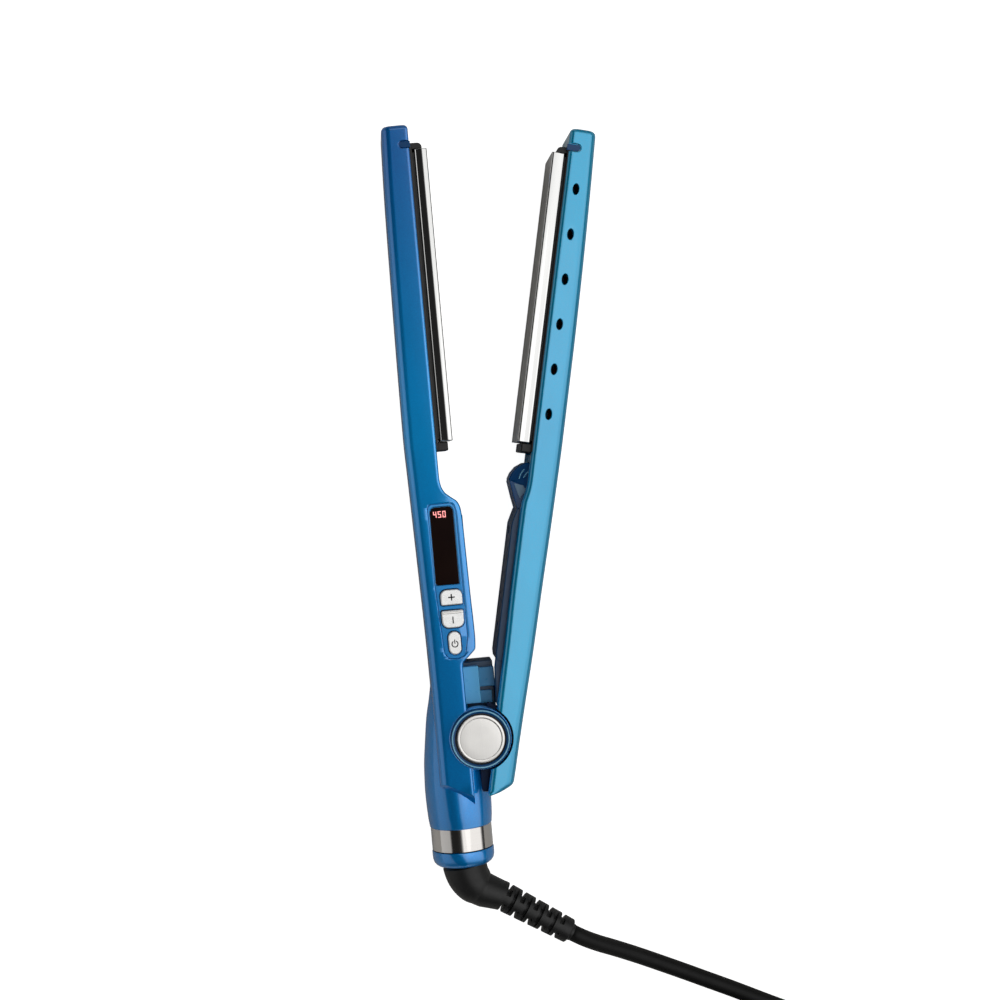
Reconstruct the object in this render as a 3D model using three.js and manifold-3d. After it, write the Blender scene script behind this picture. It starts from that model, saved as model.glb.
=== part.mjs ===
// Hair-straightening flat iron with a control arm, a lever arm, floating plates and a swivel cord.
// Millimetres. The iron lies on its side: +Z is the hinge axis, +Y runs along the control arm
// to the plate tips, and the origin is on the hinge axis, in the plane that the iron rests on.
import * as THREE from 'three';
import { mergeVertices } from 'three/addons/utils/BufferGeometryUtils.js';
import Module from 'manifold-3d';

const wasm = await Module();
wasm.setup();

// ---------------------------------------------------------------- driving dimensions

const ARM_WIDTH = 34; // across both side faces of an arm
const MID = ARM_WIDTH / 2; // height of the middle plane
const OPEN_ANGLE = THREE.MathUtils.degToRad(12); // between the plates when the lever is released
const TIP_Y = 260.2;
const WALL = 2.2;
const EDGE = 2; // rounding of the long edges of both arms
const GAP = 0.3; // clearance between pieces that touch

const HOUSING_X = 7.8; // closing plane to the housing beside the plates
const PLATE_X = 0.4; // closing plane to a plate's face
const PLATE_ROOT_X = 5.6; // closing plane to the edge of a plate's side flange
const PLATE_Y0 = 127;
const PLATE_Y1 = 250.4;
const PLATE_WIDTH = 31.2;
const PLATE_BEVEL = 2.2;
const PLATE_SHEET = 1.3;

const HANDLE_X = 1.1; // the control handle's inner face, just past the closing plane
const LEVER_INNER_X = 2.3; // the lever handle's inner face

const BOSS_R = 13.9; // round hinge boss of the control arm
const RING_R = 12.15;
const DISC_R = 10.8;
const PIN_R = 2.5;
const KNUCKLE_R = 9;
const CHEEK = 5.5; // thickness of the two hinge cheeks

const BARREL_X = -11;
const BARREL_R = 13.2;
const BAND_Y = [-48.5, -38.5];
const CAP_END_Y = -55.8;

const ELBOW_R = 9.8;
const BOOT_START = new THREE.Vector3(5.6, -72.8, MID);
const BOOT_END = new THREE.Vector3(31.9, -90.3, MID);
const BOOT_RIBS = 5;

const CORD_R = 3.6;
const COIL_X = 122.3;
const COIL_Y = -196.9;
const COIL_LIFT = 1.1; // the tie passes under the coil
const COIL_PITCH = 7.3;
const COIL_MEAN_R = 43;
const COIL_COLUMNS = 4;
const COIL_ROWS = 2;

// ---------------------------------------------------------------- solids

// Turns a closed three.js geometry into a solid that can be cut and joined.
function solid(geometry) {
  const bare = geometry.clone();
  bare.deleteAttribute('normal');
  bare.deleteAttribute('uv');
  const merged = mergeVertices(bare, 1e-4);
  const index = merged.index.array;
  const corners = [];
  for (let i = 0; i < index.length; i += 3) {
    const [a, b, c] = [index[i], index[i + 1], index[i + 2]];
    if (a !== b && b !== c && c !== a) corners.push(a, b, c);
  }
  const vertProperties = Float32Array.from(merged.attributes.position.array);
  const build = (list) => {
    const triVerts = Uint32Array.from(list);
    return new wasm.Manifold(new wasm.Mesh({ numProp: 3, vertProperties, triVerts }));
  };
  const body = build(corners);
  return body.volume() > 0 ? body : build(corners.reverse());
}

function geometryOf(body) {
  const mesh = body.getMesh();
  const geometry = new THREE.BufferGeometry();
  geometry.setAttribute('position', new THREE.BufferAttribute(mesh.vertProperties, 3));
  geometry.setIndex(new THREE.BufferAttribute(mesh.triVerts, 1));
  geometry.computeVertexNormals();
  return geometry;
}

const join = (first, ...rest) => rest.reduce((sum, body) => sum.add(body), first);
const cut = (first, ...rest) => rest.reduce((left, body) => left.subtract(body), first);

function block([x0, x1], [y0, y1], [z0, z1]) {
  const box = new THREE.BoxGeometry(x1 - x0, y1 - y0, z1 - z0);
  box.translate((x0 + x1) / 2, (y0 + y1) / 2, (z0 + z1) / 2);
  return solid(box);
}

// The same outline without points that lie almost on top of each other.
function spaced(shape, curveSegments) {
  const points = shape.getPoints(curveSegments);
  const apart = points.filter((point, i) => i === 0 || point.distanceTo(points[i - 1]) > 0.1);
  if (apart.at(-1).distanceTo(apart[0]) < 0.1) apart.pop();
  return new THREE.Shape(apart);
}

// A flat outline in X and Y, raised from z0 to z1, with its edges rounded off by `round`.
function slab(shape, z0, z1, round = 0, curveSegments = 6) {
  const geometry = new THREE.ExtrudeGeometry(spaced(shape, curveSegments), {
    depth: z1 - z0 - 2 * round,
    bevelEnabled: round > 0,
    bevelThickness: round,
    bevelSize: round,
    bevelOffset: -round,
    bevelSegments: 2,
    curveSegments,
  });
  geometry.translate(0, 0, z0 + round);
  return solid(geometry);
}

// A turned piece: pairs of radius and distance along its axis, which runs along +Y.
function turned(profile, segments = 24) {
  const points = profile.map(([r, along]) => new THREE.Vector2(r, along));
  return new THREE.LatheGeometry(points, segments);
}

const alongY = (profile, x, z, segments) =>
  solid(turned(profile, segments).translate(x, 0, z));
const alongZ = (profile, x, y, segments) =>
  solid(turned(profile, segments).rotateX(Math.PI / 2).translate(x, y, 0));
const alongX = (profile, y, z, segments) =>
  solid(turned(profile, segments).rotateZ(-Math.PI / 2).translate(0, y, z));

const rodProfile = (r, from, to) => [[0, from], [r, from], [r, to], [0, to]];
const tubeProfile = (r0, r1, from, to) => [[r0, from], [r1, from], [r1, to], [r0, to], [r0, from]];

function circleShape(radius, sides) {
  const shape = new THREE.Shape();
  for (let i = 0; i < sides; i += 1) {
    const angle = (2 * Math.PI * i) / sides;
    shape[i ? 'lineTo' : 'moveTo'](radius * Math.cos(angle), radius * Math.sin(angle));
  }
  return shape;
}

function wire(points, radius, steps, sides = 8) {
  const path = new THREE.CatmullRomCurve3(points);
  return solid(new THREE.ExtrudeGeometry(circleShape(radius, sides), { steps, extrudePath: path }));
}

// Runs a shape's outline on along a smooth curve through the points, in `steps` short lines.
function bow(shape, points, steps) {
  const { x, y } = shape.currentPoint;
  const knots = [[x, y], ...points].map((point) => new THREE.Vector2(...point));
  const along = new THREE.SplineCurve(knots).getPoints(steps).slice(1);
  along.forEach((point) => shape.lineTo(point.x, point.y));
}

function outline(points) {
  return new THREE.Shape(points.map(([x, y]) => new THREE.Vector2(x, y)));
}

// A rectangle with rounded corners.
function roundedBox([x0, x1], [y0, y1], r) {
  const shape = new THREE.Shape();
  shape.moveTo(x0 + r, y0);
  shape.lineTo(x1 - r, y0);
  shape.absarc(x1 - r, y0 + r, r, -Math.PI / 2, 0);
  shape.lineTo(x1, y1 - r);
  shape.absarc(x1 - r, y1 - r, r, 0, Math.PI / 2);
  shape.lineTo(x0 + r, y1);
  shape.absarc(x0 + r, y1 - r, r, Math.PI / 2, Math.PI);
  shape.lineTo(x0, y0 + r);
  shape.absarc(x0 + r, y0 + r, r, Math.PI, 1.5 * Math.PI);
  return shape;
}

function mirrorX(body) {
  const geometry = geometryOf(body);
  geometry.scale(-1, 1, 1);
  return solid(geometry);
}

// ---------------------------------------------------------------- materials

const finish = (color, roughness, metalness) => () =>
  new THREE.MeshStandardMaterial({ color, roughness, metalness });

const bluePaint = finish('#1b7fb6', 0.32, 0.45);
const leverPaint = finish('#57aed8', 0.32, 0.45);
const darkBluePlastic = finish('#0f4a75', 0.4, 0.2);
const blackPlastic = finish('#1c1b1b', 0.55, 0);
const softRubber = finish('#161718', 0.7, 0);
const titanium = finish('#d9d9d8', 0.12, 1);
const brushedSteel = finish('#b9b7b2', 0.3, 1);
const hardSteel = finish('#8f9194', 0.35, 1);
const brass = finish('#b08d4f', 0.35, 1);
const smokedLens = finish('#120a0a', 0.08, 0);
const silverKey = finish('#dfe1e2', 0.3, 0.1);
const ceramic = finish('#e9e4d8', 0.6, 0);
const boardGreen = finish('#1d5a36', 0.5, 0.1);
const silicone = finish('#b8402a', 0.7, 0);
const leadRed = finish('#a81f1f', 0.5, 0);

function place(group, name, body, material) {
  const mesh = new THREE.Mesh(geometryOf(body), material());
  mesh.name = name;
  group.add(mesh);
}

// ---------------------------------------------------------------- plates, carriers and heaters

// The outline of either arm beyond its handle is the same, so plate pieces are made for the
// control arm, on the -X side of the closing plane, and mirrored for the lever.

function plateSheet(inset) {
  const half = PLATE_WIDTH / 2 - inset;
  const face = -PLATE_X - inset;
  const bevel = PLATE_BEVEL;
  // In this section the first number lies along X and the second across the arm.
  const section = outline([
    [-PLATE_ROOT_X - (inset ? 1 : 0), -half],
    [face - bevel, -half],
    [face, -half + bevel],
    [face, half - bevel],
    [face - bevel, half],
    [-PLATE_ROOT_X - (inset ? 1 : 0), half],
  ]);
  const length = PLATE_Y1 - PLATE_Y0 + (inset ? 2 : 0);
  const geometry = new THREE.ExtrudeGeometry(section, { depth: length, bevelEnabled: false });
  geometry.rotateX(Math.PI / 2);
  geometry.translate(0, PLATE_Y1 + (inset ? 1 : 0), MID);
  return solid(geometry);
}

const plate = () => cut(plateSheet(0), plateSheet(PLATE_SHEET));

const HEATER_X = [-4.6, -2];
const heater = () => block(HEATER_X, [134, 244], [8, 26]);

const CARRIER_X = [-11.5, -6.3];
const CARRIER_Y = [123, 253.4];
const CARRIER_Z = [3, 31];

function plateCarrier() {
  const tray = block(CARRIER_X, CARRIER_Y, CARRIER_Z);
  const pocket = block([-9.4, 0], [130, 248], [6, 28]);
  const tipCap = slab(roundedBox([-10, -2.6], [PLATE_Y1 + GAP, CARRIER_Y[1] + 0.2], 1.2), 4, 30, 0, 3);
  const rootTab = block([-10, -2.6], [CARRIER_Y[0] - 0.2, PLATE_Y0 - GAP], [4, 30]);
  return cut(join(tray, tipCap, rootTab), pocket);
}

const CUSHION_Y = [150, 228];
const cushion = (y) => block([-9.1, -5.9], [y - 5, y + 5], [11, 23]);
const FUSE_Y = 189;
const thermalFuse = () => alongY(rodProfile(1.5, FUSE_Y - 6, FUSE_Y + 6), -6.5, 13, 12);
const thermistor = () => alongY([[0, 169], [1.2, 170.5], [1.2, 173], [0, 174.5]], -6.2, 21, 10);

// ---------------------------------------------------------------- control arm housing

const ARM_OUTER = [[-20, 213], [-20.8, 160], [-20.8, 125], [-20, 92], [-19.2, 56], [-18.7, 30]];

function controlOutline() {
  const shape = new THREE.Shape();
  shape.moveTo(-HOUSING_X, TIP_Y - 1.5);
  shape.lineTo(-HOUSING_X - 1, TIP_Y);
  shape.lineTo(-16.6, TIP_Y);
  shape.lineTo(-18.5, 258.4);
  shape.lineTo(-19, 254);
  bow(shape, ARM_OUTER, 14);
  shape.lineTo(-18.7, 0);
  shape.lineTo(-15, -18.7);
  shape.lineTo(-4.4, -25.6);
  shape.lineTo(-4.8, 33);
  shape.quadraticCurveTo(1.2, 34.5, HANDLE_X, 42);
  shape.lineTo(0.6, 96);
  shape.bezierCurveTo(0.2, 103, -7.2, 103, -HOUSING_X + 0.1, 111);
  shape.lineTo(-HOUSING_X, TIP_Y - 1.5);
  return shape;
}

const BARREL_OUTER = [[6.8, 31], [9, 17], [12, 1], [13.8, -14], [14.2, -24], [13.9, -34], [13.5, -38.2]];
const SPIGOT_R = 11.6;

function barrelBody() {
  const curve = new THREE.SplineCurve(BARREL_OUTER.map(([r, y]) => new THREE.Vector2(r, y)));
  const side = curve.getPoints(10).map((point) => [point.x, point.y]);
  return alongY([[0, 31], ...side, [SPIGOT_R, -38.2], [SPIGOT_R, -48.2], [0, -48.2]], BARREL_X, MID, 32);
}

const cheekLevels = [[0, CHEEK], [ARM_WIDTH - CHEEK, ARM_WIDTH]];

function hingeCheeks() {
  const cheeks = cheekLevels.map(([z0, z1]) => alongZ(rodProfile(BOSS_R, z0, z1), 0, 0, 36));
  return join(...cheeks);
}

const COVER_Y = [41, 95];
const COVER_Z = [5.5, 28.5];
const PANEL_DEPTH = 1.7;

function panelShape(grow) {
  return outline([
    [-14.1 - grow, 99.2],
    [-13 - grow, 100.6 + grow],
    [-3.4 + grow, 100.6 + grow],
    [-1.9 + grow, 98],
    [-1.6 + grow, 44],
    [-3 + grow, 36.4 - grow / 2],
    [-5.4, 34.9 - grow],
    [-9.6, 34.9 - grow],
    [-11.8 - grow, 37.4],
    [-13.4 - grow, 66],
  ]);
}

const DISPLAY = { x: [-13.1, -3], y: [66.3, 99.4], r: 1.6 };
const BUTTONS = {
  plus_button: { x: [-11.5, -2.5], y: [57.9, 64.3], r: 2.2 },
  minus_button: { x: [-11.6, -2.6], y: [48.2, 55.4], r: 2.2 },
  power_button: { x: [-9.9, -4.6], y: [36.6, 46.4], r: 2.6 },
};
const BUTTON_TOP = ARM_WIDTH + 1;

const widen = ([a, b], by) => [a - by, b + by];
const pillar = ({ x, y, r }, grow, z0, z1, round = 0) =>
  slab(roundedBox(widen(x, grow), widen(y, grow), r + grow), z0, z1, round, 2);

function mainOuterShell() {
  const z = [WALL, ARM_WIDTH - WALL];
  const outside = join(slab(controlOutline(), 0, ARM_WIDTH, EDGE), barrelBody(), hingeCheeks());
  const plateBay = slab(
    outline([[-16.4, 256], [-18.2, 213], [-18.6, 125], [-18, 112], [-5, 112], [-5, 256]]),
    ...z,
  );
  const handleBay = slab(
    outline([
      [-18, 113],
      [-17.2, 60],
      [-16.4, 22],
      [-7, 22],
      [-1.6, 40],
      [-1.6, 98],
      [-9.6, 104],
      [-9.6, 113],
    ]),
    ...z,
  );
  const hollow = [
    plateBay,
    handleBay,
    alongY(rodProfile(4.6, -20, 24), BARREL_X, MID, 16),
    alongY(rodProfile(9.8, -49, -6), BARREL_X, MID, 24),
    block([-3, 4], widen(COVER_Y, GAP), widen(COVER_Z, GAP)),
    slab(panelShape(GAP), ARM_WIDTH - PANEL_DEPTH - GAP, ARM_WIDTH + 1),
    block([-12.4, -3.6], [48, 98.4], [29, ARM_WIDTH]),
    block([-10.4, -4.2], [37.2, 49], [29, ARM_WIDTH]),
  ];
  const knuckleRoom = alongZ(rodProfile(BOSS_R + 0.4, CHEEK, ARM_WIDTH - CHEEK), 0, 0, 36);
  const hingeRoom = join(
    cut(knuckleRoom, block([-30, -3.6], [-30, 30], [0, ARM_WIDTH])),
    alongZ(rodProfile(KNUCKLE_R + 0.6, CHEEK, ARM_WIDTH - CHEEK), 0, 0, 36),
  );
  const pinHole = alongZ(rodProfile(PIN_R + GAP, -1, ARM_WIDTH + 1), 0, 0, 20);
  const farRecess = alongZ(rodProfile(RING_R + GAP, -1, 1.6), 0, 0, 36);
  const body = cut(outside, ...hollow, hingeRoom, pinHole, farRecess);
  return join(body, hingeBlock(), ...screwPosts([-19.2, -1.8], [-9, -1]));
}

// Posts inside a handle that the inner cover's screws bite into.
function screwPosts(reach, bore) {
  return SCREW_Y.map((y) =>
    cut(alongX(rodProfile(3, ...reach), y, MID, 12), alongX(rodProfile(1.3, ...bore), y, MID, 10)),
  );
}

// The stepped block beside the hinge that reaches into the lever and takes its side load.
function hingeBlock() {
  const step = block([-6.2, 2.1], [15.2, 31.6], [6, 26]);
  const reach = block([1, 9], [15.4, 31], [6, 22]);
  return cut(join(step, reach), block([2, 12], [19, 20.6], [20, 24]));
}

function innerCover([x0, x1], seat) {
  const cover = block([x0, x1], COVER_Y, COVER_Z);
  const holes = SCREW_Y.map((y) => alongX(rodProfile(1.5, x0 - 1, x1 + 1), y, MID, 12));
  const seats = SCREW_Y.map((y) => alongX(rodProfile(2.5, ...seat), y, MID, 16));
  return cut(cover, ...holes, ...seats);
}

const SCREW_Y = [47, 89];
const SCREW_LENGTH = 7;

function coverScrew(faceX, y, toward) {
  const head = [[0, -0.2], [2.1, -0.2], [2.1, 1], [1.1, 1.4]];
  const shank = [[1.1, SCREW_LENGTH], [0, SCREW_LENGTH + 0.6]];
  const screw = turned([...head, ...shank], 12).rotateZ(toward > 0 ? -Math.PI / 2 : Math.PI / 2);
  const socket = alongX([[0, -1], [0.9, -1], [0.9, 1], [0, 1]], y, MID, 6);
  const body = solid(screw.translate(faceX, y, MID));
  return cut(body, translated(socket, faceX, 0, 0));
}

function translated(body, x, y, z) {
  return solid(geometryOf(body).translate(x, y, z));
}

// ---------------------------------------------------------------- lever housing

const LEVER_OUTER = [
  [19.3, 213],
  [19.9, 160],
  [20, 125],
  [19.5, 92],
  [18.5, 56],
  [17.7, 22],
  [16.8, -13],
];

function leverOutline() {
  const shape = new THREE.Shape();
  shape.moveTo(HOUSING_X + 1, TIP_Y);
  shape.lineTo(15.9, TIP_Y);
  shape.lineTo(17.8, 258.4);
  shape.lineTo(18.3, 254);
  bow(shape, LEVER_OUTER, 14);
  shape.quadraticCurveTo(16.6, -19, 14, -20.4);
  shape.lineTo(6.6, -24);
  shape.lineTo(LEVER_INNER_X + 4.6, -13);
  shape.lineTo(LEVER_INNER_X, 34);
  shape.lineTo(LEVER_INNER_X + 0.4, 97);
  shape.lineTo(HOUSING_X, 107);
  shape.lineTo(HOUSING_X - 0.6, 112);
  shape.lineTo(HOUSING_X - 1, TIP_Y - 2);
  shape.lineTo(HOUSING_X + 1, TIP_Y);
  return shape;
}

const VENT_X = 12.2;
const VENT_Y = [236, 216.8, 197.6, 178.4, 159.2, 140];
const VENT_HALF = [1.25, 2.35];

function leverOuterShell() {
  const z = [WALL, ARM_WIDTH - WALL];
  const bay = slab(
    outline([
      [5, 256],
      [16, 256],
      [17.2, 213],
      [17.8, 125],
      [17.4, 92],
      [15.6, 22],
      [14.6, -14],
      [2, -19],
      [2, 12],
      [5.6, 36],
      [5.6, 99],
      [11, 107],
      [11, 122],
      [5, 122],
    ]),
    ...z,
  );
  const coverHole = block([0, 8], widen(COVER_Y, GAP), widen(COVER_Z, GAP));
  const throat = block([-2, 12], [-26, 34.5], z);
  const vents = VENT_Y.map((y) => {
    const oval = turned(rodProfile(1, 28, 36), 12).rotateX(Math.PI / 2).scale(...VENT_HALF, 1);
    return solid(oval.translate(VENT_X, y, 0));
  });
  const roomR = BOSS_R + 0.4;
  const bossRoom = cheekLevels.map(([z0, z1]) => alongZ(rodProfile(roomR, z0 - 1, z1 + 1), 0, 0, 36));
  const spindleRoom = alongZ(rodProfile(roomR, WALL, ARM_WIDTH - WALL), 0, 0, 36);
  const outside = slab(leverOutline(), 0, ARM_WIDTH, EDGE);
  const body = cut(outside, bay, throat, coverHole, ...vents, ...bossRoom, spindleRoom);
  return join(body, fingerStop(), ...knuckles(), ...screwPosts([5.6, 18.4], [5, 14]));
}

// The faceted stop that drops into the control arm's shoulder when the iron closes.
function fingerStop() {
  const shape = outline([[12, 120], [4.6, 118], [0.5, 114], [-0.4, 110.4], [3.4, 98], [12, 97]]);
  return cut(slab(shape, 6, 28, 1.2), block([9.4, 14], [90, 130], [0, ARM_WIDTH]));
}

const KNUCKLE_LEVELS = [[CHEEK + 1.3, 12], [22, ARM_WIDTH - CHEEK - 1.3]];

function knuckles() {
  return KNUCKLE_LEVELS.map(([z0, z1]) => {
    const eye = alongZ(rodProfile(KNUCKLE_R, z0, z1), 0, 0, 28);
    const web = block([2, 16.4], [-7, 7], [z0, z1]);
    const bore = alongZ(rodProfile(PIN_R + GAP, z0 - 1, z1 + 1), 0, 0, 20);
    return cut(join(eye, web), bore);
  });
}

// ---------------------------------------------------------------- hinge hardware

const washer = (z0) => alongZ(tubeProfile(PIN_R + GAP, 7, z0, z0 + 0.7), 0, 0, 20);

function torsionSpring() {
  const turns = 4;
  const steps = 10 * turns;
  const radius = 5;
  const points = [];
  for (let i = 0; i <= steps; i += 1) {
    const angle = (2 * Math.PI * i) / 10;
    const rise = 13.6 + (6.8 * i) / steps;
    points.push(new THREE.Vector3(radius * Math.cos(angle), radius * Math.sin(angle), rise));
  }
  return wire(points, 0.6, steps, 6);
}

function addHinge(group) {
  place(group, 'pivot_pin', alongZ(rodProfile(PIN_R, 1.7, ARM_WIDTH - 0.2), 0, 0, 20), hardSteel);
  place(group, 'washer_far', washer(CHEEK + GAP), hardSteel);
  place(group, 'washer_near', washer(ARM_WIDTH - CHEEK - 1), hardSteel);
  place(group, 'torsion_spring', torsionSpring(), hardSteel);
  const inside = DISC_R + GAP;
  const ringBase = ARM_WIDTH + 0.3;
  const ringTop = ARM_WIDTH + 1.7;
  const nearRim = [
    [inside, ringBase],
    [RING_R, ringBase],
    [RING_R, ringTop - 0.5],
    [RING_R - 0.5, ringTop],
    [inside, ringTop],
    [inside, ringBase],
  ];
  place(group, 'near_pivot_ring', alongZ(nearRim, 0, 0, 48), bluePaint);
  const nearDisc = rodProfile(DISC_R, ringBase, ringTop - 0.3);
  place(group, 'near_pivot_disc', alongZ(nearDisc, 0, 0, 48), brushedSteel);
  place(group, 'far_pivot_ring', alongZ(tubeProfile(inside, RING_R, 0, 1.3), 0, 0, 48), bluePaint);
  place(group, 'far_pivot_disc', alongZ(rodProfile(DISC_R, 0, 1.3), 0, 0, 48), brushedSteel);
}

// ---------------------------------------------------------------- control arm contents

function addControls(group) {
  const windowOf = ({ x, y, r }) => pillar({ x, y, r }, GAP, 30, ARM_WIDTH + 2);
  const holes = Object.values(BUTTONS).map(windowOf);
  const panelTop = ARM_WIDTH - 0.1;
  const panel = slab(panelShape(0), ARM_WIDTH - PANEL_DEPTH, panelTop);
  place(group, 'control_panel', cut(panel, windowOf(DISPLAY), ...holes), darkBluePlastic);
  place(group, 'display_window', pillar(DISPLAY, 0, ARM_WIDTH - 1.5, panelTop), smokedLens);
  place(group, 'display_module', block([-12, -4], [80, 97.6], [26, 32]), blackPlastic);
  place(group, 'control_board', block([-15.6, -2.6], [42, 97.4], [23.4, 25]), boardGreen);
  for (const [name, { x, y }] of Object.entries(BUTTONS)) {
    const [cx, cy] = [(x[0] + x[1]) / 2, (y[0] + y[1]) / 2];
    const box = block([cx - 2.4, cx + 2.4], [cy - 2.4, cy + 2.4], [25.2, 28.6]);
    const stem = alongZ(rodProfile(1.2, 28, 30.2), cx, cy, 10);
    place(group, name.replace('button', 'switch'), join(box, stem), blackPlastic);
  }
}

// Each button stands on its own group, because it travels by itself.
function buttonGroups() {
  return Object.entries(BUTTONS).map(([name, button]) => {
    const group = new THREE.Group();
    const [cx, cy] = [(button.x[0] + button.x[1]) / 2, (button.y[0] + button.y[1]) / 2];
    const cap = pillar(button, 0, ARM_WIDTH - 1, BUTTON_TOP, 0.5);
    const foot = alongZ(rodProfile(1.4, 31, ARM_WIDTH - 0.6), cx, cy, 10);
    place(group, name, join(cap, foot), silverKey);
    return group;
  });
}

function leads(points) {
  return wire(points.map(([x, y, z]) => new THREE.Vector3(x, y, z)), 0.9, 24, 6);
}

function addControlArm(group) {
  place(group, 'main_outer_shell', mainOuterShell(), bluePaint);
  place(group, 'main_inner_cover', innerCover([-1.4, HANDLE_X - 0.1], [-0.6, 2]), darkBluePlastic);
  addControls(group);
  place(group, 'main_plate_carrier', plateCarrier(), blackPlastic);
  CUSHION_Y.forEach((y, i) => place(group, `main_cushion_${i + 1}`, cushion(y), silicone));
  const route = [[-14, 100, 12], [-14.6, 140, 12], [-14.8, 180, 13], [-14.6, 226, 13]];
  place(group, 'main_heater_lead', leads(route), leadRed);
  const supply = [[BARREL_X, -24, MID], [BARREL_X, 0, MID], [-11, 22, 15], [-11, 40, 10], [-11, 90, 10]];
  place(group, 'supply_lead', leads(supply), blackPlastic);
  SCREW_Y.forEach((y, i) =>
    place(group, `main_cover_screw_${i + 1}`, coverScrew(HANDLE_X - 0.3, y, -1), hardSteel),
  );
}

function addPlate(group, arm, mirror) {
  const side = (body) => (mirror ? mirrorX(body) : body);
  place(group, `${arm}_plate`, side(plate()), titanium);
  place(group, `${arm}_heater`, side(heater()), ceramic);
  place(group, `${arm}_thermal_fuse`, side(thermalFuse()), brushedSteel);
}

function addLever(group) {
  place(group, 'lever_outer_shell', leverOuterShell(), leverPaint);
  const cover = innerCover([LEVER_INNER_X + 0.4, LEVER_INNER_X + 2.9], [0, LEVER_INNER_X + 2.4]);
  place(group, 'lever_inner_cover', cover, darkBluePlastic);
  place(group, 'lever_plate_carrier', mirrorX(plateCarrier()), blackPlastic);
  CUSHION_Y.forEach((y, i) => place(group, `lever_cushion_${i + 1}`, mirrorX(cushion(y)), silicone));
  const route = [[12, 40, 12], [13.4, 90, 12], [14.6, 140, 12], [14.6, 226, 13]];
  place(group, 'lever_heater_lead', leads(route), leadRed);
  SCREW_Y.forEach((y, i) =>
    place(group, `lever_cover_screw_${i + 1}`, coverScrew(LEVER_INNER_X + 0.9, y, 1), hardSteel),
  );
}

// ---------------------------------------------------------------- cord end of the barrel

function addBarrel(group) {
  const band = tubeProfile(SPIGOT_R + GAP, BARREL_R, BAND_Y[0], BAND_Y[1]);
  place(group, 'steel_band', alongY(band, BARREL_X, MID, 48), brushedSteel);
  const capTop = BAND_Y[0] - GAP;
  const cap = [
    [8.7, CAP_END_Y],
    [11.4, CAP_END_Y],
    [13, CAP_END_Y + 1.4],
    [13.4, CAP_END_Y + 3.4],
    [13.4, capTop],
    [8.7, capTop],
    [8.7, CAP_END_Y],
  ];
  place(group, 'barrel_end_cap', alongY(cap, BARREL_X, MID, 36), bluePaint);
  const holder = block([BARREL_X - 3.4, BARREL_X + 3.4], [-44, -28], [8.6, 10.4]);
  place(group, 'brush_holder', holder, blackPlastic);
}

// Moves a turned piece from the origin to a point, with its axis in the given direction.
function setAlong(geometry, from, direction) {
  const up = new THREE.Vector3(0, 1, 0);
  const turn = new THREE.Quaternion().setFromUnitVectors(up, direction.clone().normalize());
  return solid(geometry.applyQuaternion(turn).translate(from.x, from.y, from.z));
}

// A frustum between two points, as a turned piece set along their line.
function cone(from, to, r0, r1, segments = 16) {
  const along = new THREE.Vector3().subVectors(to, from);
  const geometry = turned([[0, 0], [r0, 0], [r1, along.length()], [0, along.length()]], segments);
  return setAlong(geometry, from, along);
}

function strainRelief() {
  const along = new THREE.Vector3().subVectors(BOOT_END, BOOT_START);
  const length = along.length();
  const pitch = length / BOOT_RIBS;
  const profile = [[0, -4], [6.2, -4], [6.2, 0]];
  for (let i = 0; i < BOOT_RIBS; i += 1) {
    const start = i * pitch;
    const rib = 6.2 - (0.8 * i) / (BOOT_RIBS - 1);
    const step = start + pitch * 0.36;
    profile.push([4.6, start], [4.6, step], [rib, step], [rib, start + pitch]);
  }
  profile.push([0, length]);
  const geometry = turned(profile, 14);
  return setAlong(geometry, BOOT_START, along);
}

function addSwivel(group) {
  const corner = new THREE.Vector3(-8.4, -66, MID);
  const neckEnd = CAP_END_Y - GAP;
  const neck = [
    [0, -66],
    [7.6, -66],
    [ELBOW_R - 0.4, -61],
    [ELBOW_R, neckEnd],
    [8.3, neckEnd],
    [8.3, -48.6],
    [0, -48.6],
  ];
  const ball = solid(new THREE.SphereGeometry(8, 16, 10).translate(corner.x, corner.y, corner.z));
  const shaft = cone(corner, BOOT_START, 8, 6.2);
  const elbow = join(alongY(neck, BARREL_X, MID, 24), ball, shaft, strainRelief());
  place(group, 'cord_elbow', elbow, softRubber);
  place(group, 'swivel_spindle', alongY(rodProfile(4, -48.2, -26), BARREL_X, MID, 20), blackPlastic);
  [-42, -34].forEach((y, i) => {
    const ring = alongY(tubeProfile(4 + GAP, 6, y - 2, y + 2), BARREL_X, MID, 24);
    place(group, `slip_ring_${i + 1}`, ring, brass);
  });
}

// ---------------------------------------------------------------- cord

// The stretch that isn't coiled, from the strain relief to where the coil begins.
const CORD_ROUTE = [
  [32.5, -90.7, 17],
  [37.2, -93.8, 16.2],
  [43.6, -97.6, 13.6],
  [52.4, -102.2, 9.6],
  [61.8, -107.1, 6.2],
  [72.2, -112.4, 4.2],
  [82.5, -117.4, 3.7],
  [93, -122.5, 3.7],
  [104, -127.8, 3.8],
  [118.6, -135, 4.6],
];

const COIL_SPREAD = (COIL_COLUMNS * COIL_PITCH) / 2;
const COIL_R = { in: COIL_MEAN_R - COIL_SPREAD, out: COIL_MEAN_R + COIL_SPREAD };
const COIL_HEIGHT = COIL_ROWS * COIL_PITCH;
const TAIL_R = COIL_R.out + GAP + CORD_R;
const PLUG_X = COIL_X - 46;
const PLUG_Y = COIL_Y - TAIL_R;
const PLUG_Z = 9;

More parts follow.
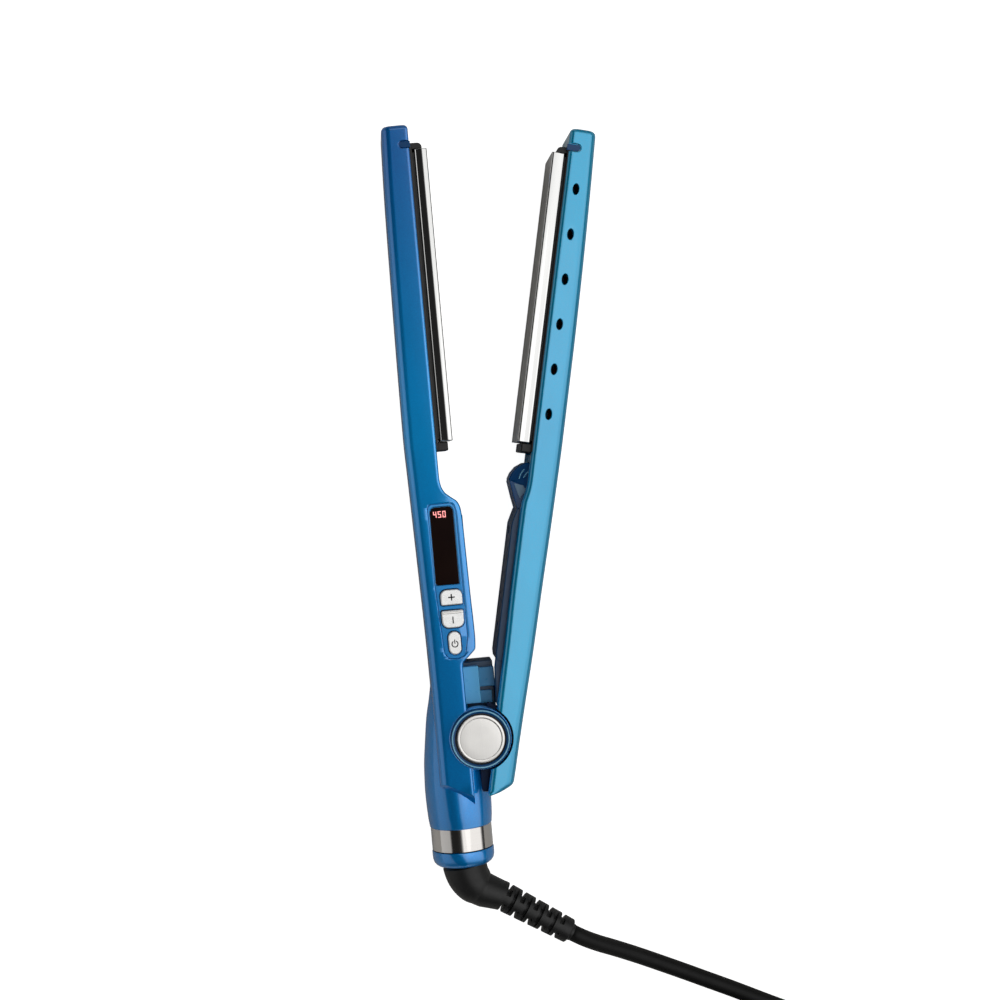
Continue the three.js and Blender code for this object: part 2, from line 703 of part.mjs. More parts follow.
// The last part turn lies outside the coil on the table and runs on into the plug.
function tailRoute() {
  const points = [];
  for (let angle = 24; angle >= -90; angle -= 12) {
    const turn = THREE.MathUtils.degToRad(angle);
    const [x, y] = [COIL_X + TAIL_R * Math.cos(turn), COIL_Y + TAIL_R * Math.sin(turn)];
    points.push([x, y, CORD_R + 0.1]);
  }
  points.push([COIL_X - 14, PLUG_Y, 4.4], [COIL_X - 30, PLUG_Y, 7.8]);
  points.push([PLUG_X + 6, PLUG_Y, PLUG_Z], [PLUG_X, PLUG_Y, PLUG_Z]);
  return points;
}

function cordTube(route, steps) {
  const points = route.map(([x, y, z]) => new THREE.Vector3(x, y, z));
  return wire(points, CORD_R, steps, 8);
}

const TIE_ANGLE = THREE.MathUtils.degToRad(200);

function coilTie() {
  const [inner, outer, top] = [COIL_R.in, COIL_R.out, COIL_LIFT + COIL_HEIGHT];
  const wall = 0.8;
  const band = cut(
    block([inner - 2 * GAP - wall, outer + GAP + wall], [-4, 4], [0, top + GAP + wall]),
    block([inner - 2 * GAP, outer + GAP], [-5, 5], [wall, top + GAP]),
  );
  return solid(geometryOf(band).rotateZ(TIE_ANGLE).translate(COIL_X, COIL_Y, 0));
}

// Two-pin mains plug lying on its side beside the coil.
function addPlug(group) {
  const face = PLUG_X - GAP;
  const neck = alongX([[0, face - 13], [5.6, face - 13], [4.4, face], [0, face]], PLUG_Y, PLUG_Z, 16);
  const rear = roundedBox([face - 36, face - 12], widen([PLUG_Y, PLUG_Y], 12.5), 3.5);
  place(group, 'plug_body', join(neck, slab(rear, 0.6, 17.4, 2, 4)), softRubber);
  [-6.35, 6.35].forEach((offset, i) => {
    const y = PLUG_Y + offset;
    const profile = roundedBox([face - 52, face - 36 - GAP], [y - 0.75, y + 0.75], 0.5);
    const blade = slab(profile, PLUG_Z - 3.2, PLUG_Z + 3.2, 0, 3);
    place(group, `plug_blade_${i + 1}`, blade, brass);
  });
}

function addCord(group) {
  place(group, 'cord_run', cordTube(CORD_ROUTE, 40), softRubber);
  const ring = tubeProfile(COIL_R.in, COIL_R.out, COIL_LIFT, COIL_LIFT + COIL_HEIGHT);
  place(group, 'cord_coil', alongZ(ring, COIL_X, COIL_Y, 40), softRubber);
  place(group, 'cord_tail', cordTube(tailRoute(), 26), softRubber);
  place(group, 'cord_tie', coilTie(), softRubber);
  addPlug(group);
}

// ---------------------------------------------------------------- assembly

const flatIron = new THREE.Group();
const lever = new THREE.Group();
lever.rotation.z = -OPEN_ANGLE;

addControlArm(flatIron);
addPlate(flatIron, 'main', false);
place(flatIron, 'thermistor', thermistor(), ceramic);
addHinge(flatIron);
addBarrel(flatIron);
addSwivel(flatIron);
flatIron.add(...buttonGroups());
addLever(lever);
addPlate(lever, 'lever', true);
flatIron.add(lever);
addCord(flatIron);

export default flatIron;
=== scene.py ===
import math

import bmesh
import bpy
import numpy as np
from mathutils import Matrix, Vector


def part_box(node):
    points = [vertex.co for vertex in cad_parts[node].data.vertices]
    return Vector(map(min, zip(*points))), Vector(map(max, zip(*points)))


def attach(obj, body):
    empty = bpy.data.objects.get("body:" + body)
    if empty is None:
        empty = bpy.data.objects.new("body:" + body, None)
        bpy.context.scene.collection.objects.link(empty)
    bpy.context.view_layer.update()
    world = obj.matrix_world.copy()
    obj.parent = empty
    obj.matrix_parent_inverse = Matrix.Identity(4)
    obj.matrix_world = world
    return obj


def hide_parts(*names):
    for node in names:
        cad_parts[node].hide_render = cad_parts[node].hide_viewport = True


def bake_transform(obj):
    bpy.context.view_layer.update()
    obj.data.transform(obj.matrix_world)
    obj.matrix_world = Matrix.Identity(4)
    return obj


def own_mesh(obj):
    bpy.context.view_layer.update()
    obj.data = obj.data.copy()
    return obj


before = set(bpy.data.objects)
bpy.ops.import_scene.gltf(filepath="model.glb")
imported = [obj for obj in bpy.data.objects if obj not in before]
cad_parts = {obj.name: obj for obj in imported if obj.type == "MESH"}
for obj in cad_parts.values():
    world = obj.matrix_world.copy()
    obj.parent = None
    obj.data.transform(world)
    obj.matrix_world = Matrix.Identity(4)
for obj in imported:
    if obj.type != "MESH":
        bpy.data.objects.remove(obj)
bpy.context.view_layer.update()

MM = 0.001


def span(node):
    """A CAD node's lowest and highest corners, in millimetres."""
    low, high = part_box(node)
    return low / MM, high / MM


# ---- driving dimensions

MID = 17.0
WIDTH = 34.0
OPEN = math.radians(12)
MAIN_TIP = span("main_outer_shell")[1].y + 1.0
LEVER_TIP = MAIN_TIP + 0.5
END_ROUND = 2.2

DISC_R = span("near_pivot_disc")[1].x
BOSS_R = 13.4
CHEEK = 5.5  # thickness of the boss on each side of the knuckles
BAY_Z = (4.5, 29.5)

PIVOT = (0, 0, 0), (0, 0, 1)  # a place and a direction
BARREL = (-11.0, 0, MID), (0, 1, 0)
BAND_LOW, BAND_HIGH = span("steel_band")
BAND_R = (BAND_HIGH.x - BAND_LOW.x) / 2
CAP_LOW, CAP_HIGH = span("barrel_end_cap")

PLATE_LOW, PLATE_HIGH = span("main_plate")

BOOT_START = Vector((4.3, -71.9, MID))
BOOT_END = Vector((31.9, -90.3, MID))
BOOT_DIR = (BOOT_END - BOOT_START).normalized()
BOOT_SIDE = Vector((-BOOT_DIR.y, BOOT_DIR.x, 0))
BOOT_RIBS = 5

CORD_D = 7.2
COIL_X = 122.3
COIL_Y = -196.9
COIL_PITCH = 7.3
COIL_OUT_R = 53.95
COIL_TURNS = 4
COIL_ENTRY = math.radians(64.3)
COIL_LOW_Z = 4.75
TAIL_R = 61.5

# ---- camera

CAMERA_AT = Vector((-34.39, 117.38, 767)) * MM
CAMERA_TARGET = Vector((18.37, 99.64, 17)) * MM
CAMERA_UP = Vector((0.0887, 0.996, 0))
CAMERA_LENS = 62.53


def add_object(name, data):
    made = bpy.data.objects.new(name, data)
    bpy.context.scene.collection.objects.link(made)
    return made


def make_camera():
    data = bpy.data.cameras.new("camera")
    data.lens = CAMERA_LENS
    data.sensor_width = 36
    data.clip_start = 0.01
    data.clip_end = 20
    camera = add_object("camera", data)
    ahead = (CAMERA_TARGET - CAMERA_AT).normalized()
    right = ahead.cross(CAMERA_UP).normalized()
    up = right.cross(ahead)
    turn = Matrix((right, up, -ahead)).transposed()
    camera.matrix_world = Matrix.Translation(CAMERA_AT) @ turn.to_4x4()
    bpy.context.scene.camera = camera


make_camera()

# ---- mesh helpers


def add_mesh(name, points, faces):
    """A piece from points in millimetres, with its faces turned outwards."""
    mesh = bpy.data.meshes.new(name)
    mesh.from_pydata((np.asarray(points, float) * MM).tolist(), [], faces)
    work = bmesh.new()
    work.from_mesh(mesh)
    bmesh.ops.recalc_face_normals(work, faces=work.faces)
    work.to_mesh(mesh)
    work.free()
    return add_object(name, mesh)


def loft(name, rings, closed=False):
    """A skin over rings of equal count. An open row of rings is capped at both ends."""
    rings = np.asarray(rings, float)
    count, around = rings.shape[:2]
    faces = []
    for i in range(count if closed else count - 1):
        a = i * around
        b = ((i + 1) % count) * around
        for j in range(around):
            k = (j + 1) % around
            faces.append((a + j, a + k, b + k, b + j))
    if not closed:
        faces.append(tuple(range(around)))
        faces.append(tuple(range((count - 1) * around, count * around)))
    return add_mesh(name, rings.reshape(-1, 3), faces)


def circle(centre, u, v, radius, sides):
    """A ring of points round a centre, in the plane of two unit vectors."""
    angles = np.linspace(0, 2 * np.pi, sides, endpoint=False)[:, None]
    out = np.cos(angles) * np.array(u) + np.sin(angles) * np.array(v)
    return np.array(centre) + radius * out


def turned(name, profile, centre, axis, sides=64, hollow=False):
    """A turned piece, from pairs of radius and distance along its axis. A hollow one is a ring."""
    axis = Vector(axis).normalized()
    u = axis.orthogonal().normalized()
    v = axis.cross(u)
    rings = [circle(Vector(centre) + axis * t, u, v, r, sides) for r, t in profile]
    return loft(name, rings, closed=hollow)


def rounded(corners, radius, steps=5):
    """A closed outline whose corners are rounded off. A corner may carry its own radius."""
    points = []
    count = len(corners)
    for i, corner in enumerate(corners):
        here = Vector(corner[:2])
        r = corner[2] if len(corner) > 2 else radius
        back = (Vector(corners[i - 1][:2]) - here).normalized()
        on = (Vector(corners[(i + 1) % count][:2]) - here).normalized()
        half = back.angle(on) / 2
        if r < 1e-6 or half > math.radians(88):
            points.append(here)
            continue
        middle = here + (back + on).normalized() * (r / math.sin(half))
        reach = r / math.tan(half)
        start = (here + back * reach - middle).normalized()
        end = (here + on * reach - middle).normalized()
        points += [middle + start.slerp(end, k / steps) * r for k in range(steps + 1)]
    return points


def box_outline(x, y, radius, steps=5):
    return rounded([(x[0], y[0]), (x[1], y[0]), (x[1], y[1]), (x[0], y[1])], radius, steps)


def soften(piece, edge, steps, chosen=None):
    """Rounds off the chosen edges of a piece, or all of them."""
    if edge:
        work = bmesh.new()
        work.from_mesh(piece.data)
        edges = [e for e in work.edges if chosen is None or chosen(e)]
        bmesh.ops.bevel(work, geom=edges, offset=edge * MM, segments=steps, profile=0.5,
                        affect="EDGES", clamp_overlap=True)
        work.to_mesh(piece.data)
        work.free()
    return piece


def slab(name, outline, z0, z1, edge=0.0, steps=3, both=True):
    """An outline raised from z0 to z1, with its top edge, or both edges, rounded."""
    piece = loft(name, [[(p[0], p[1], z) for p in outline] for z in (z0, z1)])
    levels = (z0, z1) if both else (z1,)

    def on_a_rim(edge_line):
        return any(all(abs(v.co.z - z * MM) < 1e-7 for v in edge_line.verts) for z in levels)

    return soften(piece, edge, steps, on_a_rim)


def block(name, x, y, z, edge=0.0, steps=3):
    """A box with every edge rounded."""
    corners = [(x[i], y[j], z[k]) for i in (0, 1) for j in (0, 1) for k in (0, 1)]
    faces = [(0, 1, 3, 2), (4, 6, 7, 5), (0, 4, 5, 1), (2, 3, 7, 6), (0, 2, 6, 4), (1, 5, 7, 3)]
    return soften(add_mesh(name, corners, faces), edge, steps)


def combine(piece, operation, *others):
    """Joins the others to the piece, or cuts them out of it, as solids."""
    for other in others:
        tool = piece.modifiers.new("solid", "BOOLEAN")
        tool.operation = operation
        tool.solver = "MANIFOLD"
        tool.object = other
        bpy.context.view_layer.update()
        seen = bpy.context.evaluated_depsgraph_get()
        made = bpy.data.meshes.new_from_object(piece.evaluated_get(seen))
        piece.modifiers.clear()
        old = piece.data
        made.name = piece.name
        piece.data = made
        bpy.data.meshes.remove(old)
        bpy.data.objects.remove(other)
    return piece


def cut(piece, *others):
    return combine(piece, "DIFFERENCE", *others)


def join(piece, *others):
    return combine(piece, "UNION", *others)


def gather(piece, *others):
    """Puts closed solids that only touch into one piece, without joining their surfaces."""
    work = bmesh.new()
    for each in (piece, *others):
        work.from_mesh(each.data)
    work.to_mesh(piece.data)
    work.free()
    for other in others:
        bpy.data.objects.remove(other)
    return piece


def open_out(*made):
    """Turns lever pieces from their shut place to their open place."""
    for piece in made:
        piece.data.transform(Matrix.Rotation(-OPEN, 4, "Z"))


def settle(piece, body, slot, *nodes, look=None, crease=35):
    """Shades a piece, gives it its look and puts it on its body in place of CAD nodes."""
    mesh = piece.data
    mesh.materials.clear()
    mesh.materials.append(LOOKS[look or slot])
    mesh.polygons.foreach_set("use_smooth", [True] * len(mesh.polygons))
    mesh.set_sharp_from_angle(angle=math.radians(crease))
    weigh = piece.modifiers.new("normals", "WEIGHTED_NORMAL")
    weigh.keep_sharp = True
    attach(piece, body)
    if nodes:
        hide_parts(*nodes)
    return piece


def hermite(s, start, start_slope, end, end_slope):
    """The smooth step between two values with given slopes, at a share s of the way."""
    return ((2 * s**3 - 3 * s**2 + 1) * start + (s**3 - 2 * s**2 + s) * start_slope
            + (3 * s**2 - 2 * s**3) * end + (s**3 - s**2) * end_slope)


def smooth_curve(points):
    """A smooth function through points (t, value) with no overshoot between them."""
    t, value = (np.array(column, float) for column in zip(*points))
    step = np.diff(t)
    slope = np.diff(value) / step
    tangent = np.zeros(len(t))
    tangent[0], tangent[-1] = slope[0], slope[-1]
    for i in range(1, len(t) - 1):
        if slope[i - 1] * slope[i] > 0:
            w1 = 2 * step[i] + step[i - 1]
            w2 = step[i] + 2 * step[i - 1]
            tangent[i] = (w1 + w2) / (w1 / slope[i - 1] + w2 / slope[i])

    def at(where):
        where = min(max(where, t[0]), t[-1])
        i = min(int(np.searchsorted(t, where, "right")) - 1, len(t) - 2)
        h = step[i]
        s = (where - t[i]) / h
        return hermite(s, value[i], h * tangent[i], value[i + 1], h * tangent[i + 1])

    return at


def smoothstep(low, high, value):
    share = min(max((value - low) / (high - low), 0.0), 1.0)
    return share * share * (3 - 2 * share)


# ---- cord

# The stretch that isn't coiled, from the strain relief to the coil, in metres.
CORD_ROUTE = [
    (0.0325, -0.0907, 0.0170),
    (0.0372, -0.0938, 0.0162),
    (0.0436, -0.0976, 0.0136),
    (0.0524, -0.1022, 0.0096),
    (0.0618, -0.1071, 0.0062),
    (0.0722, -0.1124, 0.0042),
    (0.0825, -0.1174, 0.0037),
    (0.0930, -0.1225, 0.0037),
    (0.1040, -0.1278, 0.0038),
    (0.1186, -0.1350, 0.0046),
]

PLUG_LOW, PLUG_HIGH = span("plug_body")
PLUG_Y = (PLUG_LOW.y + PLUG_HIGH.y) / 2
PLUG_Z = 9.0


def coil_point(turn):
    """A point of the coil after so many turns: four inwards below, then four outwards above."""
    whole = min(int(turn), 2 * COIL_TURNS - 1)
    shift = smoothstep(0.83, 1, turn - whole)
    last = COIL_TURNS - 1
    if whole < COIL_TURNS:
        column = min(whole + shift, last)
        row = shift if whole == last else 0.0
    else:
        column = max(2 * COIL_TURNS - 1 - whole - shift, 0)
        row = 1.0
    radius = COIL_OUT_R - COIL_PITCH * column
    angle = COIL_ENTRY - 2 * math.pi * turn
    return (COIL_X + radius * math.cos(angle), COIL_Y + radius * math.sin(angle),
            COIL_LOW_Z + COIL_PITCH * row)


def tail_point(angle):
    """A point of the last part turn, which rolls off the top of the coil onto the table."""
    roll = math.radians(98) * smoothstep(math.radians(64.3), math.radians(22), angle)
    radius = COIL_OUT_R + (TAIL_R - COIL_OUT_R) * math.sin(roll)
    height = COIL_LOW_Z + COIL_PITCH * math.cos(roll)
    return (COIL_X + radius * math.cos(angle), COIL_Y + radius * math.sin(angle), height)


def cord_points():
    points = [tuple(c / MM for c in p) for p in CORD_ROUTE]
    points += [(132.2, -141.7, 4.7)]
    per_turn = 24
    points += [coil_point(i / per_turn) for i in range(2 * COIL_TURNS * per_turn)]
    points += [tail_point(math.radians(a)) for a in range(64, -91, -9)]
    points += [(COIL_X - 14, PLUG_Y, 4.4), (COIL_X - 30, PLUG_Y, 7.8)]
    points += [(PLUG_HIGH.x + 6.3, PLUG_Y, PLUG_Z), (PLUG_HIGH.x - 1.2, PLUG_Y, PLUG_Z)]
    return np.array(points)


def curve_through(points, spacing):
    """Points at an even spacing along a smooth curve through the given points."""
    points = np.asarray(points, float)
    ahead = np.vstack([points[1:], 2 * points[-1] - points[-2]])
    before = np.vstack([2 * points[0] - points[1], points[:-1]])
    fine = []
    for i in range(len(points) - 1):
        p0, p1, p2, p3 = before[i], points[i], points[i + 1], ahead[i + 1]
        gap = np.linalg.norm(p2 - p1)
        m1 = gap * (p2 - p0) / max(np.linalg.norm(p2 - p1) + np.linalg.norm(p1 - p0), 1e-9)
        m2 = gap * (p3 - p1) / max(np.linalg.norm(p3 - p2) + np.linalg.norm(p2 - p1), 1e-9)
        fine += [hermite(s, p1, m1, p2, m2) for s in np.linspace(0, 1, 12, endpoint=False)]
    fine.append(points[-1])
    fine = np.array(fine)
    along = np.concatenate([[0], np.cumsum(np.linalg.norm(np.diff(fine, axis=0), axis=1))])
    marks = np.linspace(0, along[-1], int(round(along[-1] / spacing)) + 1)
    return np.stack([np.interp(marks, along, fine[:, k]) for k in range(3)], axis=1)


def tube(name, path, radii, sides):
    """A round skin along a path, with a radius for each of its points."""
    path = np.asarray(path, float)
    tangents = np.gradient(path, axis=0)
    tangents /= np.linalg.norm(tangents, axis=1)[:, None]
    up = np.array([0.0, 0.0, 1.0])
    rings = []
    for point, tangent, radius in zip(path, tangents, radii):
        up = up - tangent * (up @ tangent)
        up /= np.linalg.norm(up)
        rings.append(circle(point, up, np.cross(tangent, up), radius, sides))
    return loft(name, rings)


def make_cord():
    path = curve_through(cord_points(), 3.0)
    length = float(np.linalg.norm(np.diff(path, axis=0), axis=1).sum()) * MM
    cord = tube("mains_cord", path, [CORD_D / 2] * len(path), 20)
    mesh = cord.data
    mesh.materials.append(LOOKS["cord_jacket"])
    mesh.polygons.foreach_set("use_smooth", [True] * len(mesh.polygons))
    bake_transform(cord)
    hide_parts("cord_run", "cord_coil", "cord_tail")
    return cord, path, length


# ---- materials


def fill(tree, node, inputs):
    """Gives each named input of a node a link or a plain value."""
    for socket, value in inputs.items():
        if isinstance(value, bpy.types.NodeSocket):
            tree.links.new(value, node.inputs[socket])
        else:
            node.inputs[socket].default_value = value


def add_node(tree, kind, inputs, **settings):
    """Makes a shader node and returns its outputs."""
    node = tree.nodes.new("ShaderNode" + kind)
    for name, value in settings.items():
        setattr(node, name, value)
    fill(tree, node, inputs)
    return node.outputs


def ramp_of(tree, value, stops):
    """A brightness that follows a value from 0 to 1 through pairs of place and level."""
    ramp = tree.nodes.new("ShaderNodeValToRGB")
    marks = ramp.color_ramp.elements
    while len(marks) < len(stops):
        marks.new(0.5)
    for mark, (place, level) in zip(marks, stops):
        mark.position = place
        mark.color = (level, level, level, 1)
    fill(tree, ramp, {"Fac": value})
    return ramp.outputs["Color"]


class Look:
    """A procedural material, put together node by node."""

    def __init__(self, name, **constants):
        self.material = bpy.data.materials.new(name)
        self.material.use_nodes = True
        self.tree = self.material.node_tree
        self.place = self.add("TexCoord", {})["Object"]
        self.set(**constants)

    def add(self, kind, inputs, **settings):
        return add_node(self.tree, kind, inputs, **settings)

    def set(self, **inputs):
        """Gives the shader's inputs a link or a plain value; _ stands for a space."""
        named = {name.replace("_", " "): value for name, value in inputs.items()}
        fill(self.tree, self.tree.nodes["Principled BSDF"], named)

    def spot(self, scale):
        """Object coordinates in millimetres, stretched by one scale or by one for each axis."""
        stretch = (np.broadcast_to(scale, 3) / MM).tolist()
        return self.add("Mapping", {"Vector": self.place, "Scale": stretch})["Vector"]

    def noise(self, scale, detail=3.0):
        inputs = {"Vector": self.spot(scale), "Scale": 1.0, "Detail": detail, "Roughness": 0.55}
        return self.add("TexNoise", inputs)["Fac"]

    def cells(self, scale):
        return self.add("TexVoronoi", {"Vector": self.spot(scale), "Scale": 1.0})["Color"]

    def remap(self, value, low, high):
        inputs = {"Value": value, "From Min": 0.25, "From Max": 0.75, "To Min": low, "To Max": high}
        return self.add("MapRange", inputs)["Result"]

    def blend(self, factor, first, second):
        inputs = {"Factor": factor, "A": (*first, 1), "B": (*second, 1)}
        return self.add("Mix", inputs, data_type="RGBA")["Result"]

    def color(self, factor, first, second):
        self.set(Base_Color=self.blend(factor, first, second))

    def rough(self, factor, low, high):
        self.set(Roughness=self.remap(factor, low, high))

    def bump(self, height, depth, strength=1.0):
        inputs = {"Height": height, "Distance": depth * MM, "Strength": strength}
        return self.add("Bump", inputs)["Normal"]


# Painted light and shade along an arm, from the hinge to PAINT_REACH: place, and share of the light
# colour, which is most at the handle and least at the tips.
PAINTED_LIGHT_TONES = [(0.0, 0.3), (0.15, 0.36), (0.36, 0.55), (0.52, 0.8), (1.0, 0.0)]
PAINT_REACH = 250 * MM


def paint(name, deep, light):
    """Pearl paint: fine flakes under a clear lacquer with a faint orange-peel surface, its colour
    painted lighter and darker along the arm as painted light and shade, with a little random cloudiness.
    """
    look = Look(name, Metallic=0.62, Coat_Weight=1.0, Coat_Roughness=0.05, Coat_IOR=1.8,
                Specular_IOR_Level=0.0)
    parts = look.add("SeparateXYZ", {"Vector": look.place})
    along = look.add("MapRange", {"Value": parts["Y"], "From Max": PAINT_REACH})["Result"]
    painted_light = ramp_of(look.tree, along, PAINTED_LIGHT_TONES)
    clouds = look.remap(look.noise(1.6), 0.0, 0.2)
    look.color(look.add("Math", {0: painted_light, 1: clouds})["Value"], deep, light)
    look.rough(look.noise((0.09, 0.05, 0.09)), 0.30, 0.37)
    look.set(Normal=look.bump(look.cells(5.0), 0.012, 0.35))
    look.set(Coat_Normal=look.bump(look.noise(0.7, 2.0), 0.004))
    return look.material


def moulded(name, dark, light, low, high, grain=1.6, depth=0.02, metallic=0.0, shine=0.45):
    """Moulded plastic or rubber with a fine spark-eroded grain."""
    look = Look(name, Specular_IOR_Level=shine, Metallic=metallic)
    look.color(look.noise(0.12), dark, light)
    look.rough(look.noise(0.4), low, high)
    look.set(Normal=look.bump(look.noise(grain, 4.0), depth, 0.6))
    return look.material


def metal(name, dark, light, low, high, brush, depth, anisotropic=0.0):
    """Metal with fine lines along the direction in which the brush scale is smallest."""
    look = Look(name, Metallic=1.0, Anisotropic=anisotropic)
    look.color(look.noise(brush, 5.0), dark, light)
    look.rough(look.noise(brush, 4.0), low, high)
    look.set(Normal=look.bump(look.noise(brush, 6.0), depth, 0.5))
    return look.material


def glass(name):
    """Nearly black glass with a trace of waviness."""
    look = Look(name, IOR=1.45, Specular_IOR_Level=0.12)
    look.color(look.noise((0.03, 0.05, 0.03)), (0.006, 0.003, 0.003), (0.018, 0.008, 0.006))
    look.rough(look.noise(0.3), 0.05, 0.09)
    look.set(Normal=look.bump(look.noise(0.15, 2.0), 0.01, 0.3))
    return look.material


def glow(name):
    """Red lit segments."""
    look = Look(name, Emission_Strength=1.0)
    look.set(Emission_Color=look.blend(look.noise(0.9), (1.3, 0.36, 0.36), (1.4, 0.7, 0.68)))
    look.color(look.noise(1.0), (0.5, 0.05, 0.04), (0.6, 0.08, 0.06))
    return look.material


# The two ends of each paint's painted light and shade along the arm.
PAINTS = {  # deep colour, light colour
    "arm_paint": ((0.001, 0.16, 0.56), (0.002, 0.43, 1.0)),
    "lever_paint": ((0.003, 0.39, 0.66), (0.003, 0.34, 0.61)),
}
# Two colours and two roughnesses, then grain, depth, metallic and shine where they aren't the usual.
MOULDED = {
    "dark_blue_plastic": ((0.008, 0.045, 0.10), (0.012, 0.065, 0.14), 0.3, 0.42),
    "slate_plastic": ((0.006, 0.05, 0.13), (0.012, 0.065, 0.16), 0.3, 0.4),
    # Painted shade: a dark navy copy of the blue paint.
    "navy_trim": ((0.001, 0.05, 0.17), (0.002, 0.075, 0.23), 0.2, 0.28, 0.3, 0.006, 0.0, 0.35),
    # Painted shadow: near-black navy for the dark pieces that fill the gaps round the hinge.
    "deep_navy": ((0.002, 0.012, 0.045), (0.003, 0.018, 0.06), 0.35, 0.45, 0.3, 0.006, 0.0, 0.12),
    # Painted light and painted shade: a pale copy of the arm paint for the hinge step, and a darker one
    # for the reach.
    "step_blue": ((0.14, 0.54, 0.88), (0.17, 0.60, 0.94), 0.25, 0.35, 0.3, 0.006),
    "reach_blue": ((0.065, 0.29, 0.53), (0.085, 0.33, 0.59), 0.25, 0.35, 0.3, 0.006),
    # Painted highlight: a pale copy of the blue paint.
    "rim_blue": ((0.22, 0.55, 0.78), (0.28, 0.62, 0.84), 0.22, 0.3, 0.3, 0.004),
    # Painted light: a paler grey-blue copy of the lever paint.
    "facet_blue": ((0.11, 0.22, 0.33), (0.15, 0.27, 0.39), 0.25, 0.35, 0.3, 0.006),
    "black_plastic": ((0.006, 0.005, 0.005), (0.013, 0.012, 0.011), 0.38, 0.5),
    "soft_rubber": ((0.007, 0.007, 0.007), (0.013, 0.013, 0.013), 0.38, 0.5, 2.4, 0.03, 0.0, 0.4),
    "cord_jacket": ((0.004, 0.004, 0.004), (0.008, 0.008, 0.008), 0.45, 0.55, 1.2, 0.03, 0.0, 0.2),
    "silver_key": ((0.93, 0.93, 0.92), (0.98, 0.98, 0.97), 0.22, 0.32, 0.3, 0.003, 0.45),
    "key_ink": ((0.02, 0.02, 0.022), (0.035, 0.035, 0.04), 0.5, 0.6),
    "ceramic": ((0.62, 0.57, 0.48), (0.78, 0.73, 0.64), 0.5, 0.7),
    "circuit_board": ((0.01, 0.08, 0.03), (0.02, 0.14, 0.05), 0.35, 0.5),
    "silicone": ((0.32, 0.06, 0.03), (0.45, 0.10, 0.05), 0.6, 0.75),
    "lead_red": ((0.30, 0.01, 0.01), (0.42, 0.02, 0.02), 0.4, 0.5),
    "lead_black": ((0.01, 0.01, 0.01), (0.02, 0.02, 0.02), 0.4, 0.5),
}
METALS = {  # two colours, two roughnesses, brush scale, depth, and anisotropy
    "plate_titanium": ((0.68, 0.68, 0.67), (0.72, 0.72, 0.71), 0.05, 0.09, (1.2, 0.02, 1.2), 0.002),
    "brushed_steel": ((0.68, 0.665, 0.64), (0.80, 0.785, 0.76), 0.26, 0.36, (3.0, 0.05, 3.0), 0.012,
                      0.4),
    "polished_band": ((0.70, 0.67, 0.64), (0.76, 0.735, 0.71), 0.06, 0.11, (0.05, 1.5, 0.05), 0.004),
    "hard_steel": ((0.35, 0.36, 0.37), (0.52, 0.53, 0.54), 0.28, 0.4, 0.4, 0.02),
    "brass": ((0.50, 0.34, 0.12), (0.68, 0.48, 0.18), 0.22, 0.34, (1.0, 0.1, 1.0), 0.01),
}
LOOKS = {"smoked_lens": glass("smoked_lens"), "lit_segments": glow("lit_segments")}
for finish, table in ((paint, PAINTS), (moulded, MOULDED), (metal, METALS)):
    LOOKS.update((name, finish(name, *values)) for name, values in table.items())

CORD, CORD_PATH, CORD_LENGTH = make_cord()

# ---- arm sections

FACE_DROP = 0.155  # how steeply each wide face falls away from the closing plane
CORNER_STEPS = 8
FLAT_STEPS = 7


def drop(depth):
    """How far an arm's wide face has fallen at a depth behind its flat inner strip."""
    depth = max(depth, 0.0)
    return FACE_DROP * depth * depth / (depth + 3)


def section(x0, x1, z0, z1, outer, inner):
    """A rounded section in X and Z, whose outer side is x0."""
    corners = [
        ((x0 + outer, z0 + outer), outer, 180),
        ((x1 - inner, z0 + inner), inner, 270),
        ((x1 - inner, z1 - inner), inner, 0),
        ((x0 + outer, z1 - outer), outer, 90),
    ]
    points = []
    for i, ((cx, cz), r, start) in enumerate(corners):
        arc = [math.radians(start + 90 * k / CORNER_STEPS) for k in range(CORNER_STEPS + 1)]
        points += [(cx + r * math.cos(a), cz + r * math.sin(a)) for a in arc]
        (nx, nz), nr, nstart = corners[(i + 1) % 4]
        first = math.radians(nstart)
        goal = (nx + nr * math.cos(first), nz + nr * math.sin(first))
        here = points[-1]
        for k in range(1, FLAT_STEPS):
            share = 0.5 - 0.5 * math.cos(math.pi * k / FLAT_STEPS)
            points.append([a + (b - a) * share for a, b in zip(here, goal)])
    return np.array(points)


def crowned(points, strip_x):
    """Lets both wide faces fall away beyond a flat strip that ends at strip_x."""
    made = points.copy()
    for point in made:
        fall = drop(strip_x - point[0])
        point[1] = MID + (point[1] - MID) * (1 - fall / MID)
    return made


def end_inset(y, tip):
    """How much a section shrinks on every side as the rounded tip closes."""
    into = y - (tip - END_ROUND)
    if into <= 0:
        return 0.0
    return END_ROUND - math.sqrt(max(END_ROUND**2 - into**2, 0.0))


# ---- control arm

